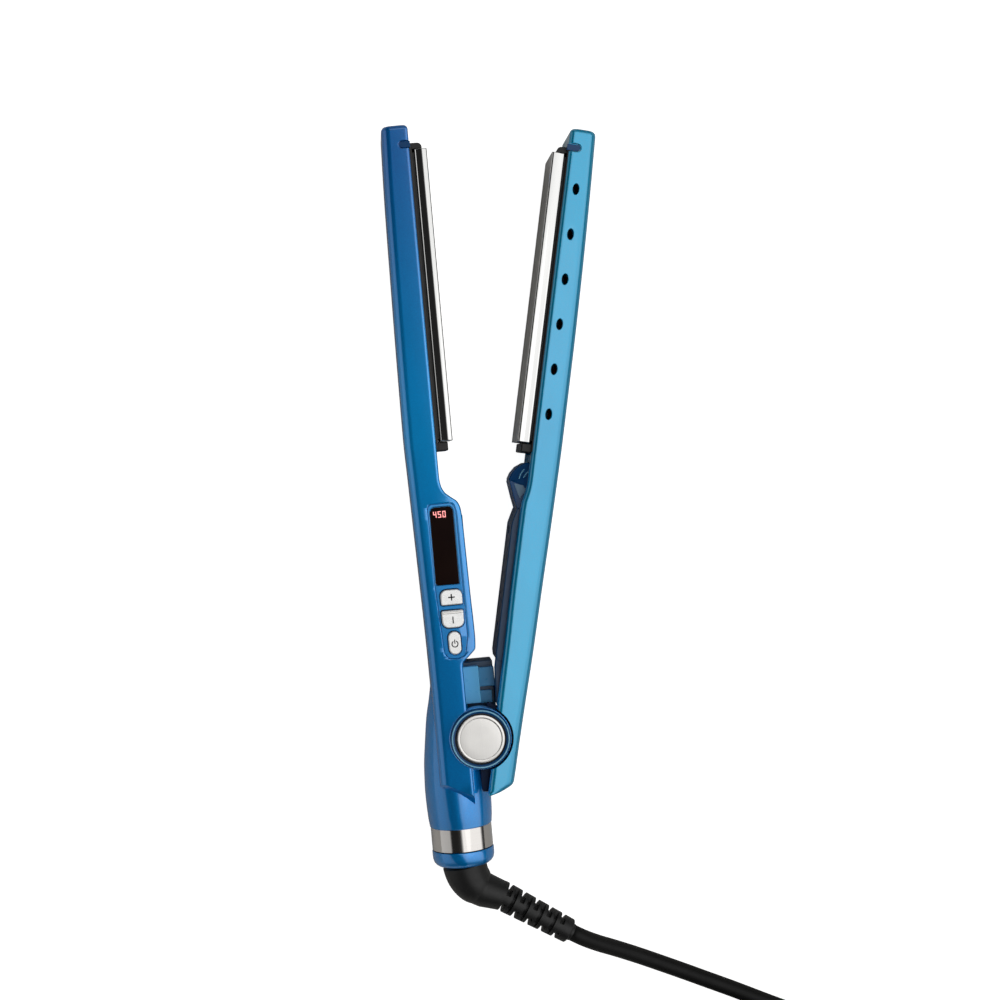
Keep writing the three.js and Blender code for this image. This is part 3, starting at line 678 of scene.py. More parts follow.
MAIN_OUTER = smooth_curve([
    (-40, -18.7), (20, -18.7), (34, -18.8), (52, -19.1), (65, -19.4), (78, -19.7), (95, -20.1),
    (112, -20.5), (129, -20.9), (163, -20.7), (197, -20.3), (231, -19.8), (262, -18.9),
])
MAIN_INNER = smooth_curve([
    (-40, -4.6), (30, -4.7), (32.4, -4.5), (35.5, -1.4), (38.6, 1.3), (44, 1.6), (63, 1.2),
    (82, 0.9), (93, 0.7), (98, 0.3), (101, -0.8), (103.4, -3.6), (105.4, -5.8), (108.6, -7.2),
    (112, -7.6), (262, -7.7),
])
BARREL_R = smooth_curve([
    (-38.3, 13.45), (-34, 13.9), (-24, 14.2), (-14, 13.8), (1, 12), (9, 10.8), (17, 9), (31, 6.4),
])
FACE_END = [Vector((-15.1, -18.7)), Vector((-4.3, -25.6))]
MAIN_STRIP_X = -4.0


def main_section(y):
    inset = end_inset(y, MAIN_TIP)
    x0 = MAIN_OUTER(y) + inset
    x1 = MAIN_INNER(y) - inset
    outer = max(3.6 - inset, 1.0)
    return crowned(section(x0, x1, inset, WIDTH - inset, outer, 1.1), MAIN_STRIP_X)


def stations(*stretches):
    """Places along the arm: pairs of a start and a spacing, and a last end."""
    places = []
    for (start, spacing), (end, _) in zip(stretches, stretches[1:]):
        count = max(int(round(abs(end - start) / spacing)), 1)
        places += list(np.linspace(start, end, count, endpoint=False))
    return places + [stretches[-1][0]]


def slanting_end():
    """A cutter that ends the flat-sided housing along a slanting line, with rounded rims."""
    along = (FACE_END[1] - FACE_END[0]).normalized()
    out = Vector((along.y, -along.x))
    near = [(-1.3, 35.5), (-1.25, 33.95), (-0.8, 33.75), (-0.35, 33.4), (0.0, 32.95), (2.6, 29.6),
            (3.2, 26)]
    profile = near + [(d, WIDTH - z) for d, z in reversed(near)] + [(40, -1.5), (40, 35.5)]
    rings = []
    for reach_out in (-30, 45):
        start = FACE_END[0] + along * reach_out
        rings.append([(start.x + out.x * d, start.y + out.y * d, z) for d, z in profile])
    return loft("slanting_end", rings)


def main_skin():
    places = stations((-34, 8), (30, 0.4), (40, 2), (94, 0.5), (112, 4),
                      (MAIN_TIP - END_ROUND, 0.26), (MAIN_TIP, 1))
    skin = loft("main_housing_skin", [[(x, y, z) for x, z in main_section(y)] for y in places])
    cut(skin, slanting_end())
    places = stations((-38.3, 1.6), (31, 1))
    profile = [(BARREL_R(-38.3) - 0.35, -38.65)] + [(BARREL_R(y), y) for y in places]
    barrel = turned("barrel_skin", profile, *BARREL, 128)
    return join(skin, barrel)


PANEL = [(-13.8, 99.2, 1.2), (-13.0, 100.6, 1.5), (-3.2, 100.8, 2.2), (-1.9, 97.5, 2),
         (-1.6, 43.5, 4), (-3.2, 35.6, 3), (-6.6, 34.7, 4), (-10.2, 34.9, 2), (-12, 37.6, 2),
         (-13.5, 66, 6)]
DISPLAY = [(-13.1, 66.3, 0.6), (-3.0, 66.3, 0.6), (-3.0, 99.4, 2.2), (-13.1, 99.4, 2.6)]
PANE = [(-12.95, 66.45, 0.6), (-3.15, 66.45, 0.6), (-3.15, 99.25, 2.0), (-12.95, 99.25, 2.4)]
KEYS = {
    "plus": [(-11.6, 57.7, 0.7), (-2.4, 57.7, 0.7), (-2.4, 64.2, 2.6), (-11.6, 64.2, 2.6)],
    "minus": [(-11.8, 48.0, 2.8), (-2.5, 48.0, 2.8), (-2.5, 55.4, 0.7), (-11.8, 55.4, 0.7)],
    "power": [(-9.9, 36.6, 2.6), (-4.6, 36.6, 2.6), (-4.6, 46.4, 2.6), (-9.9, 46.4, 2.6)],
}


def grown(corners, by):
    """An outline of rounded corners, moved outwards or inwards by a distance."""
    flat = [Vector(c[:2]) for c in corners]
    lean = sum(a.x * b.y - b.x * a.y for a, b in zip(flat, flat[1:] + flat[:1]))
    side = 1 if lean > 0 else -1
    made = []
    for i, corner in enumerate(corners):
        back = (flat[i] - flat[i - 1]).normalized()
        on = (flat[(i + 1) % len(flat)] - flat[i]).normalized()
        normal_back = Vector((back.y, -back.x)) * side
        normal_on = Vector((on.y, -on.x)) * side
        middle = (normal_back + normal_on).normalized()
        shift = by / max(middle.dot(normal_back), 0.3)
        r = max(corner[2] + (by if by > 0 else 0.6 * by), 0.05)
        made.append((flat[i].x + middle.x * shift, flat[i].y + middle.y * shift, r))
    return made


def drape(piece, lift=0.0):
    """Lays a piece that was made on a flat face onto the crowned face of the control arm."""
    for vertex in piece.data.vertices:
        vertex.co.z += (lift - drop(MAIN_STRIP_X - vertex.co.x / MM)) * MM
    return piece


def well(name, corners, depth, lip=0.35):
    """A cutter for a recess in the near face, flared at its mouth so that the edge is rounded."""
    rings = []
    steps = [(0, -depth), (0, -lip), (0.1 * lip, -0.62 * lip), (0.38 * lip, -0.29 * lip),
             (0.8 * lip, -0.03), (lip + 0.05, 0.05), (lip + 0.1, 2)]
    for out, z in steps:
        outline = rounded(grown(corners, out), 0, 6)
        rings.append([(p[0], p[1], WIDTH + 0.02 + z) for p in outline])
    return loft(name, rings)


def make_main_shell():
    shell = main_skin()
    cheek = [(1.0, CHEEK), (0.0, CHEEK - 0.4), (0.0, 1.1), (0.3, 0.45), (0.9, 0.08)]
    near = turned("near_cheek", [(BOSS_R - r, WIDTH - z) for r, z in cheek], *PIVOT, 96)
    far = turned("far_cheek", [(BOSS_R - r, z) for r, z in cheek], *PIVOT, 96)
    join(shell, near, far)
    bay = slab("plate_bay", [(-16.6, 255), (-17.2, 213), (-17.4, 125), (-17, 113), (-9.8, 113),
                             (-9.8, 122), (-5, 122), (-5, 255)], *BAY_Z)
    handle = slab("handle_bay", [(-17, 114), (-15.8, 60), (-15.4, 24), (-7, 24), (-1.6, 42),
                                 (-1.6, 97), (-9.8, 103), (-9.8, 114)], *BAY_Z)
    room = turned("hinge_room", [(BOSS_R + 0.9, CHEEK), (BOSS_R + 0.9, WIDTH - CHEEK)], *PIVOT, 72)
    cut(room, block("kept_wall", (-30, -3.9), (-40, 40), (0, WIDTH)))
    knuckle = turned("knuckle_room", [(9.6, CHEEK), (9.6, WIDTH - CHEEK)], *PIVOT, 48)
    window = block("cover_window", (-3, 4), (40.7, 95.3), (5.2, 28.8))
    duct = turned("wire_duct", [(4.6, -20), (4.6, 25)], *BARREL, 24)
    spindle = turned("spindle_bore", [(9.8, -49), (9.8, -6)], *BARREL, 32)
    near_seat = turned("near_seat", [(DISC_R + 2.35, WIDTH - 0.8), (DISC_R + 2.35, WIDTH - 0.35),
                                     (DISC_R + 2.6, WIDTH), (DISC_R + 3.4, WIDTH + 0.4)], *PIVOT, 128)
    far_seat = turned("far_seat", [(12.4, -1), (12.4, 1.5)], *PIVOT, 72)
    tongue = well("tip_recess", [(-12.3, 251, 1.6), (-5, 251, 0.1), (-5, 254.3, 0.1),
                                 (-12.3, 254.3, 1.6)], 1.5, 0.25)
    panel = well("panel_recess", PANEL, 1.9, 0.4)
    cut(shell, bay, handle, room, knuckle, window, duct, spindle, near_seat, far_seat,
        drape(tongue), drape(panel))
    cut(shell, block("board_pocket", (-12.4, -3.6), (48, 98.4), (28, WIDTH)))
    cut(shell, block("power_pocket", (-10.4, -4.2), (37.4, 50), (28, WIDTH)))
    shell.name = "main_housing"
    return settle(shell, "control_arm", "arm_paint", "main_outer_shell")


def make_hinge_block():
    """The stop beside the hinge: a step and a reach that slope down to the arm, on a dark core. The step
    is painted a pale blue as painted light, and the reach a darker grey-blue as painted shade.
    """
    step = block("hinge_block", (-6.2, 2.1), (13.9, 29.8), (6, 26), 0.4)
    upper = block("hinge_reach", (2.0, 8.8), (20.5, 28.8), (6, 23.4), 0.5)
    lower = block("hinge_toe", (2.0, 7.2), (13.2, 18.8), (6, 22.4), 0.5)
    gather(upper, lower)
    for piece in (step, upper):
        for vertex in piece.data.vertices:
            if vertex.co.z > MID * MM:
                vertex.co.z -= 0.12 * (9 * MM - vertex.co.x)
    # The step is painted pale as painted light, and the reach darker as painted shade.
    settle(step, "control_arm", "arm_paint", look="step_blue")
    settle(upper, "control_arm", "arm_paint", look="reach_blue")
    core = block("hinge_core", (-5, 8.6), (11.5, 31.4), (7, 20), 0.6)
    settle(core, "control_arm", "dark_blue_plastic")


def make_gap_shades():
    """Dark pieces on the lever, painted shade that closes the gap round the hinge boss and beside the
    barrel.
    """
    angles = np.radians(np.linspace(-70, 84, 40))
    reach = [15.0 + 1.9 * (smoothstep(0.6, 0.8, a) - smoothstep(0.95, 1.1, a)) for a in angles]
    outside = [(r * math.cos(a), r * math.sin(a)) for r, a in zip(reach, angles)]
    inside = [(9.6 * math.cos(a), 9.6 * math.sin(a)) for a in reversed(angles)]
    web = slab("hinge_gap_shade", outside + inside, 26.0, 27.6, 0.2)
    throat = [(1.8, -12.5), (3.2, -20), (4.2, -23.2), (6.8, -23), (6.8, -12.5)]
    lip = slab("throat_gap_shade", throat, 27.7, 28.3, 0.15)
    gather(web, lip)
    open_out(web)
    settle(web, "lever_arm", "dark_blue_plastic", look="deep_navy")


def make_panel():
    outline = rounded(grown(PANEL, -0.08), 0, 6)
    panel = slab("control_panel_face", outline, WIDTH - 1.7, WIDTH - 0.3, 0.2, both=False)
    holes = [well("display_well", DISPLAY, 3, 0.45)]
    holes += [well(f"{name}_well", grown(corners, 0.32), 3, 0.3) for name, corners in KEYS.items()]
    for hole in holes:
        hole.data.transform(Matrix.Translation((0, 0, -0.3 * MM)))
    cut(panel, *holes)
    drape(panel)
    settle(panel, "control_arm", "arm_paint", "control_panel")


def make_display():
    outline = rounded(PANE, 0, 6)
    pane = slab("display_pane", outline, WIDTH - 1.6, WIDTH - 0.42, 0.15, both=False)
    settle(drape(pane), "control_arm", "smoked_lens", "display_window")
    strokes = []
    for i, digit in enumerate("450"):
        strokes += seven_segments(digit, -11.5 + 1.95 * i, 94.9)
    speck = slab("display_digits", box_outline((-9, -8.9), (96, 96.1), 0), WIDTH - 0.5, WIDTH - 0.45)
    digits = gather(speck, *strokes)
    settle(drape(digits), "control_arm", "smoked_lens", look="lit_segments")


SEGMENTS = {"4": "bcfg", "5": "acdfg", "0": "abcdef"}


def seven_segments(digit, x, y):
    """The lit bars of one digit, with its lower left corner at x, y."""
    width, height, bar, gap = 1.35, 2.7, 0.34, 0.06
    half = height / 2
    places = {
        "a": ((x, x + width), (y + height - bar, y + height)),
        "b": ((x + width - bar, x + width), (y + half + gap, y + height - gap)),
        "c": ((x + width - bar, x + width), (y + gap, y + half - gap)),
        "d": ((x, x + width), (y, y + bar)),
        "e": ((x, x + bar), (y + gap, y + half - gap)),
        "f": ((x, x + bar), (y + half + gap, y + height - gap)),
        "g": ((x + gap, x + width - gap), (y + half - bar / 2, y + half + bar / 2)),
    }
    top = (WIDTH - 0.5, WIDTH - 0.38)
    return [block("segment", *places[s], top) for s in SEGMENTS[digit]]


def make_keys():
    for name, corners in KEYS.items():
        outline = rounded(corners, 0, 6)
        key = slab(f"{name}_key_cap", outline, WIDTH - 1.0, WIDTH + 0.55, 0.5, 4, both=False)
        mark = key_mark(name, corners)
        pieces = [key, mark]
        if name == "minus":
            ridge = block("minus_ridge", (-11.2, -3.1), (54.0, 54.9), (WIDTH, WIDTH + 0.72), 0.2)
            settle(ridge, "minus_key", "silver_key", look="brushed_steel")
            pieces.append(ridge)
        centre_x = (corners[0][0] + corners[1][0]) / 2
        for piece in pieces:
            piece.data.transform(Matrix.Translation((0, 0, -drop(MAIN_STRIP_X - centre_x) * MM)))
        settle(key, f"{name}_key", "silver_key", f"{name}_button")
        settle(mark, f"{name}_key", "silver_key", look="key_ink")


def key_mark(name, corners):
    """The inked mark of a key: a plus, an upright minus or the power sign."""
    x = (corners[0][0] + corners[1][0]) / 2
    y = (corners[0][1] + corners[2][1]) / 2
    top = (WIDTH + 0.3, WIDTH + 0.6)

    def stroke(wide, low, high):
        return block("stroke", (x - wide, x + wide), (y + low, y + high), top, 0.05, 1)

    if name == "plus":
        mark = gather(stroke(1.4, -0.28, 0.28), stroke(0.28, -1.4, 1.4))
    elif name == "minus":
        mark = stroke(0.26, -1.9, 1.1)
    else:
        mark = turned("ring", [(1.05, top[0]), (1.5, top[0]), (1.5, top[1]), (1.05, top[1])],
                      (x, y - 0.4, 0), (0, 0, 1), 40, hollow=True)
        cut(mark, block("notch", (x - 0.55, x + 0.55), (y + 0.3, y + 2), (WIDTH, WIDTH + 1)))
        gather(mark, stroke(0.2, -0.3, 1.5))
    mark.name = f"{name}_mark"
    return mark


# ---- lever arm

LEVER_OUTER = smooth_curve([
    (-24, 6.9), (-21.8, 11.8), (-19.4, 15.2), (-18.2, 16.3), (-16.9, 16.7), (0, 17.1), (17.7, 17.6),
    (39, 18.3), (65, 18.8), (95.5, 19.5), (113, 19.8), (130, 20), (164, 20), (199, 19.7),
    (233, 19.0), (262, 18.1),
])
LEVER_INNER = smooth_curve([
    (-24, 6.2), (0.2, 6.0), (17, 5.4), (38, 5.4), (64, 5.1), (96, 5.2), (101, 5.4), (105, 6.2),
    (108, 6.7), (112, 6.9), (263, 6.9),
])
LEVER_END_Y = -24.0
LEVER_STRIP_X = 7.5


def lever_section(y):
    inset = end_inset(y, LEVER_TIP)
    inset_low = max(LEVER_END_Y + 0.8 - y, 0) * 0.6
    x1 = LEVER_OUTER(y) - inset
    x0 = LEVER_INNER(y) + inset + inset_low
    wide = x1 - x0
    outer = min(max(3.4 - inset, 0.8), wide * 0.45)
    inner = min(2.4, wide * 0.45)
    squeeze = inset + inset_low
    flat = section(-x1, -x0, squeeze, WIDTH - squeeze, outer, inner)
    flat = crowned(flat, -LEVER_STRIP_X)
    flat[:, 0] *= -1
    return flat[::-1]


def make_lever_shell():
    places = stations((LEVER_END_Y, 0.3), (-16, 3), (18, 2), (96, 0.6), (113, 5),
                      (LEVER_TIP - END_ROUND, 0.26), (LEVER_TIP, 1))
    shell = loft("lever_housing", [[(x, y, z) for x, z in lever_section(y)] for y in places])
    bay = slab("lever_bay", [(4, 255), (15.2, 255), (16, 213), (16.4, 125), (16, 92), (14.4, 22),
                             (13.6, -13), (2, -19), (0, 12), (0, 99), (5.6, 99), (11, 107),
                             (11, 122), (4, 122)], *BAY_Z)
    throat = block("throat", (-4, 11.5), (-26, 22), (3.2, 30.8))
    reaches = [(-1, CHEEK + 1), (WIDTH - CHEEK - 1, WIDTH + 1), (3, WIDTH - 3)]
    rooms = [turned("boss_room", [(BOSS_R + 0.75, z) for z in reach], *PIVOT, 96) for reach in reaches]
    vents = [vent(y) for y in VENT_Y]
    tongue = well("lever_tip_recess", [(4.5, 251.6, 0.1), (12.4, 251.6, 1.7), (12.4, 255, 1.7),
                                       (4.5, 255, 0.1)], 1.5, 0.25)
    for piece in (*vents, tongue):
        for vertex in piece.data.vertices:
            vertex.co.z -= drop(vertex.co.x / MM - LEVER_STRIP_X) * MM
    cut(shell, bay, throat, *rooms, *vents, tongue)
    open_out(shell)
    settle(shell, "lever_arm", "lever_paint", "lever_outer_shell")


def make_lever_liner():
    """The smooth slate-coloured cover that closes the handle's inner side, with a dark slab on it as
    painted shade in the gap beside the hinge.
    """
    outline = rounded([(2.5, 36, 1), (3.2, 33, 1), (9.6, 33, 0.5), (9.6, 15, 0.5), (12, 15, 0.5),
                       (12, 99, 1), (4.2, 99, 1), (2.5, 92, 3)], 1)
    liner = slab("lever_liner", outline, 4.6, 29.4, 1.8, 4)
    for y in (47, 89):
        cut(liner, turned("screw_hole", [(2.2, 1), (2.2, 3.6)], (0, y, MID), (1, 0, 0), 24))
    # The hinge shade is a dark slab in the liner's colour, put over the gap beside the hinge as painted
    # shade.
    shade = slab("hinge_shade", [(2.6, 36), (2.7, 30), (4.0, 22), (5.0, 15.5), (5.6, 14.4),
                                 (10, 14.4), (10, 36)], 25.6, 29.2, 0.5)
    gather(liner, shade)
    open_out(liner)
    settle(liner, "lever_arm", "dark_blue_plastic", "lever_inner_cover", look="slate_plastic")


VENT_X = 12.2
VENT_Y = [236, 216.8, 197.6, 178.4, 159.2, 140]


def vent(y):
    """A cutter for an oval vent with a rounded mouth."""
    turns = np.linspace(0, 2 * np.pi, 28, endpoint=False)
    rings = []
    for out, z in ((0, -7), (0, -0.35), (0.05, -0.2), (0.15, -0.08), (0.35, 0.02), (0.45, 2)):
        rings.append([(VENT_X + (1.32 + out) * math.cos(a), y + (2.32 + out) * math.sin(a), WIDTH + z)
                      for a in turns])
    return loft("vent", rings)


def stop_top(x):
    """The height of the finger stop's top, which falls away towards the closing plane."""
    reach_out = max(7.5 - x, 0)
    return 29 - 12 * (0.03 * reach_out + 0.003 * reach_out**2)


def make_finger_stop():
    """A domed stop above a pointed foot, with a small facet and two fine ridges on it. The dome is
    painted dark navy as painted shade, the facet a paler grey-blue as painted light, and the ridges pale
    blue as painted highlights.
    """
    dome = rounded([(9.5, 119.4), (5.2, 118.4), (2.2, 116.3), (0.2, 113.4), (-0.7, 110.6),
                    (0.2, 109.2), (9.5, 106.8)], 0.8, 3)
    foot = rounded([(-0.6, 110.4), (9.5, 107.6), (9.5, 97.6), (4.2, 98.4), (2.4, 102.6)], 0.4, 3)
    facet = rounded([(1.5, 109.2), (6.6, 108.7), (7.4, 107.5), (4.8, 102.9)], 0.3, 3)
    stop = slab("finger_stop", dome, 5, 29, 1.2)
    for vertex in stop.data.vertices:
        share = (29 - stop_top(vertex.co.x / MM)) / 12
        vertex.co.z -= (vertex.co.z - MID * MM) * share
    lower = slab("stop_foot", foot, 6.5, 27.5, 0.8, 2)
    inlay = slab("stop_facet", facet, 24, 27.75, 0.15, 2)
    for vertex in [*lower.data.vertices, *inlay.data.vertices]:
        if vertex.co.z > MID * MM:
            vertex.co.z -= 0.075 * (9 * MM - vertex.co.x)
    gather(stop, lower)
    ridges = []
    for line in ([(3.5, 111.4), (4.0, 113.4), (5.1, 115.6)], [(5.3, 112.0), (6.4, 114.2), (8.2, 115.8)]):
        path = curve_through([(x, y, stop_top(x) - 0.05) for x, y in line], 0.5)
        ridges.append(tube("stop_ridge", path, [0.24] * len(path), 10))
    ridge = gather(*ridges)
    open_out(stop, inlay, ridge)
    # Dome painted dark as painted shade, facet paler as painted light, ridges pale as painted
    # highlights.
    settle(stop, "lever_arm", "lever_paint", look="navy_trim")
    settle(inlay, "lever_arm", "lever_paint", look="facet_blue")
    settle(ridge, "lever_arm", "lever_paint", look="rim_blue")


def make_knuckles():
    eyes = []
    for z0, z1 in ((CHEEK + 1.3, 12), (22, WIDTH - CHEEK - 1.3)):
        eye = turned("eye", [(8.4, z0), (9, z0 + 0.6), (9, z1 - 0.6), (8.4, z1)], *PIVOT, 56)
        join(eye, block("web", (2, 15), (-7, 7), (z0 + 0.2, z1 - 0.2)))
        cut(eye, turned("bore", [(2.8, z0 - 1), (2.8, z1 + 1)], *PIVOT, 32))
        eyes.append(eye)
    knuckles = gather(*eyes)
    knuckles.name = "lever_knuckles"
    open_out(knuckles)
    settle(knuckles, "lever_arm", "lever_paint")


# ---- plates and carriers

PLATE_SIDE = [  # from the face to the root: distance from the face, and depth below the edge
    (0.0, 1.1), (0.04, 0.75), (0.16, 0.45), (0.36, 0.22), (0.7, 0.06), (1.2, 0.0), (1.9, 0.03),
    (2.4, 0.1), (2.9, 0.23), (3.5, 0.45), (4.1, 0.7), (4.6, 0.93), (4.75, 0.96), (5.05, 0.96),
    (5.15, 1.02), (5.2, 1.3),
]


def plate_rings(sign):
    """Sections of a plate along the arm; its face looks towards the closing plane."""
    face_x = -sign * PLATE_HIGH.x
    rings = []
    y0, y1 = PLATE_LOW.y, PLATE_HIGH.y
    for y, inset in [(y0, 0.4), (y0 + 0.12, 0.12), (y0 + 0.4, 0), (y1 - 0.1, 0), (y1 + 0.1, 0.1),
                     (y1 + 0.25, 0.4)]:
        near = [(face_x + sign * d, PLATE_HIGH.z - depth - inset) for d, depth in PLATE_SIDE]
        far = [(x, WIDTH - z) for x, z in reversed(near)]
        rings.append([(x, y, z) for x, z in near + far])
    return rings


def make_tongues():
    """The rounded ends of the carriers' latches, seen in their recesses beside the tip caps, painted
    dark navy as painted shade.
    """
    for arm, (x0, x1), y, (left, right) in (("main", (-11.9, -7.3), 251, (1.25, 0.1)),
                                            ("lever", (6.4, 12.0), 251.6, (0.1, 1.25))):
        outline = rounded([(x0, y + 0.4, left), (x1, y + 0.4, right), (x1, y + 3.0, right),
                           (x0, y + 3.0, left)], 0, 5)
        tongue = slab(f"{arm}_latch", outline, WIDTH - 3, WIDTH - 0.5, 0.45, both=False)
        # Dark navy here is painted shade in the recess.
        if arm == "main":
            settle(drape(tongue), "control_arm", "arm_paint", look="navy_trim")
        else:
            open_out(tongue)
            settle(tongue, "lever_arm", "lever_paint", look="navy_trim")


def make_plates():
    for arm, body, sign in (("main", "control_arm", -1), ("lever", "lever_arm", 1)):
        plate = loft(f"{arm}_plate_polished", plate_rings(sign))
        carrier = make_carrier(arm, sign)
        pads = make_pads(arm, sign)
        away = Vector((sign, 0, 0))
        seat = Vector((sign * 7.25, 190, MID)) * MM
        if arm == "lever":
            open_out(plate, carrier, pads)
            away.rotate(Matrix.Rotation(-OPEN, 3, "Z"))
            seat.rotate(Matrix.Rotation(-OPEN, 3, "Z"))
        settle(plate, f"{arm}_plate_float", "plate_titanium", f"{arm}_plate", crease=50)
        settle(carrier, body, "black_plastic", f"{arm}_plate_carrier")
        settle(pads, body, "silicone", f"{arm}_cushion_1", f"{arm}_cushion_2", look="soft_rubber")
        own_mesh(pads)


def make_carrier(arm, sign):
    """The black tray behind a plate, with its side rails, tip cap and root tab."""
    low, high = span("main_plate_carrier")

    def across(x0, x1):
        return (x0, x1) if sign < 0 else (-x1, -x0)

    tray = block(f"{arm}_carrier", across(low.x, -7.25), (low.y + 0.3, 253.0), (3, 31), 0.4)
    rails = [block("rail", across(-8.0, -6.75), (low.y + 0.5, 252.8), z, 0.3)
             for z in ((30.55, 32.9), (1.1, 3.45))]
    x0, x1 = across(-10, -2.4)
    left, right = (0.3, 1.9) if sign < 0 else (1.9, 0.3)
    outline = [(x0, 250.85, 0.3), (x1, 250.85, 0.3), (x1, 253.5, right), (x0, 253.5, left)]
    cap = slab("tip_cap", rounded(outline, 0), 3.6, 30.6, 0.5)
    tab = block("root_tab", across(-10, -2.5), (low.y, 126.7), (3.6, 30.6), 0.6)
    return gather(tray, *rails, cap, tab)


def make_pads(arm, sign):
    """The soft seal and the two pads that a plate sinks into, all black silicone."""
    x = sorted((sign * 7.25, sign * 5.65))
    seal = block(f"{arm}_plate_pads", x, (127.8, 249.6), (3.7, 30.3), 0.3)
    cut(seal, block("opening", (sign * 6.4 - 3, sign * 6.4 + 3), (129.6, 247.8), (5.5, 28.5)))
    pads = [block("pad", x, (y - 5, y + 5), (11, 23), 0.4) for y in (150, 228)]
    return gather(seal, *pads)


# ---- hinge trim and barrel


def make_hinge_trim():
    base = WIDTH - 0.5
    top = span("near_pivot_ring")[1].z
    bands = {  # how far outside the disc, and height
        "pivot_bezel": [(0.15, base), (0.15, top - 0.55), (0.3, top - 0.42), (0.9, top - 0.2),
                        (0.9, base)],
        "pivot_ring": [(0.92, base), (0.92, top - 0.1), (1.02, top), (1.42, top), (1.52, top - 0.1),
                       (1.52, base)],
        "pivot_groove": [(1.54, base), (1.54, top - 0.5), (2.1, top - 1.45), (2.1, base)],
    }
    for name, profile in bands.items():
        band = turned(name, [(DISC_R + out, z) for out, z in profile], *PIVOT, 128, hollow=True)
        nodes = ["near_pivot_ring"] if name == "pivot_ring" else []
        # The ring is painted pale blue as a painted highlight, and the bezel and groove dark navy as
        # painted shade.
        look = "rim_blue" if nodes else "navy_trim"
        settle(band, "control_arm", "arm_paint", *nodes, look=look, crease=60)
    disc_top = top - 0.3
    face = [(0.45, base), (0.45, disc_top - 0.5), (0.65, disc_top - 0.15), (1.05, disc_top),
            (1.85, disc_top), (2.0, disc_top - 0.07), (2.15, disc_top)]
    profile = [(DISC_R - inside, z) for inside, z in face] + [(5, disc_top + 0.02)]
    disc = turned("pivot_disc", profile, *PIVOT, 128)
    settle(disc, "control_arm", "brushed_steel", "near_pivot_disc")
    seat = turned("disc_seat", [(DISC_R + 0.2, base - 0.4), (DISC_R + 0.2, base + 0.3)], *PIVOT, 96)
    settle(seat, "control_arm", "black_plastic")
    profile = [(0.3, 0.3), (0.6, 0.05), (1.0, 0.05), (1.3, 0.35), (1.3, 1.3), (0.3, 1.3)]
    far_ring = turned("far_ring", [(DISC_R + out, z) for out, z in profile], *PIVOT, 96, hollow=True)
    settle(far_ring, "control_arm", "arm_paint", "far_pivot_ring")
    profile = [(5, 0.0), (DISC_R - 0.5, 0.0), (DISC_R - 0.1, 0.3), (DISC_R - 0.1, 1.3)]
    settle(turned("far_disc", profile, *PIVOT, 96), "control_arm", "brushed_steel", "far_pivot_disc")


def make_barrel():
    y0, y1 = BAND_LOW.y, BAND_HIGH.y
    inner = BAND_R - 1.3
    profile = [(inner, y0), (BAND_R - 0.2, y0), (BAND_R, y0 + 0.2), (BAND_R, y1 - 0.2),
               (BAND_R - 0.2, y1), (inner, y1)]
    band = turned("band_sleeve", profile, *BARREL, 160, hollow=True)
    settle(band, "control_arm", "brushed_steel", "steel_band", look="polished_band")
    low, high = CAP_LOW.y, CAP_HIGH.y
    cap_r = (CAP_HIGH.x - CAP_LOW.x) / 2
    profile = [(8.8, low + 0.2), (9.3, low), (10.2, low), (11.3, low + 0.35), (12.2, low + 1.0),
               (12.9, low + 1.9), (13.3, low + 3.2), (cap_r, low + 4.6), (cap_r, high - 0.4),
               (cap_r - 0.25, high), (8.8, high)]
    cap = turned("barrel_cap", profile, *BARREL, 128, hollow=True)
    settle(cap, "control_arm", "arm_paint", "barrel_end_cap")


# ---- swivel elbow and strain relief

ELBOW = [  # place in the plane of the bend, and radius
    ((-11, -50.0), 8.4), ((-11, -55.7), 8.4), ((-10.95, -55.95), 9.6), ((-10.7, -58.0), 9.5),
    ((-10.1, -60.4), 9.35), ((-9.1, -62.6), 9.15), ((-7.7, -64.6), 8.9), ((-6.1, -66.1), 8.5),
    ((-4.8, -67.1), 7.9), ((-3.9, -67.7), 7.2), ((-3.4, -68.0), 6.4),
]


def make_elbow():
    """A ball-ended elbow on the swivel, with a straight sleeve and the strain relief on it."""
    path, radii = refine([(x, y, MID) for (x, y), _ in ELBOW], [radius for _, radius in ELBOW])
    elbow = tube("swivel_elbow", path, radii, 64)
    join(elbow, make_sleeve(), make_boot())
    settle(elbow, "cord_swivel", "soft_rubber", "cord_elbow", crease=40)


def make_sleeve():
    """A sleeve that is straight on its inner side and swells into the ball on its outer side."""
    marks = [(-11, 1.5, 7.6), (-8, 1.3, 7.5), (-4.5, 0.7, 6.95), (-1.2, 0.15, 6.5),
             (-0.25, 0.03, 6.42), (0, 0, 6.25)]
    path = [BOOT_START + BOOT_DIR * along - BOOT_SIDE * shift for along, shift, _ in marks]
    return tube("sleeve", path, [radius for _, _, radius in marks], 64)


def refine(path, radii):
    """A smooth path through hand-set stations, with the radius carried along it."""
    path = np.array(path)
    fine = curve_through(path, 0.8)
    along = np.concatenate([[0], np.cumsum(np.linalg.norm(np.diff(path, axis=0), axis=1))])
    fine_along = np.linspace(0, along[-1], len(fine))
    curve = smooth_curve(list(zip(along, radii)))
    return fine, [float(curve(a)) for a in fine_along]


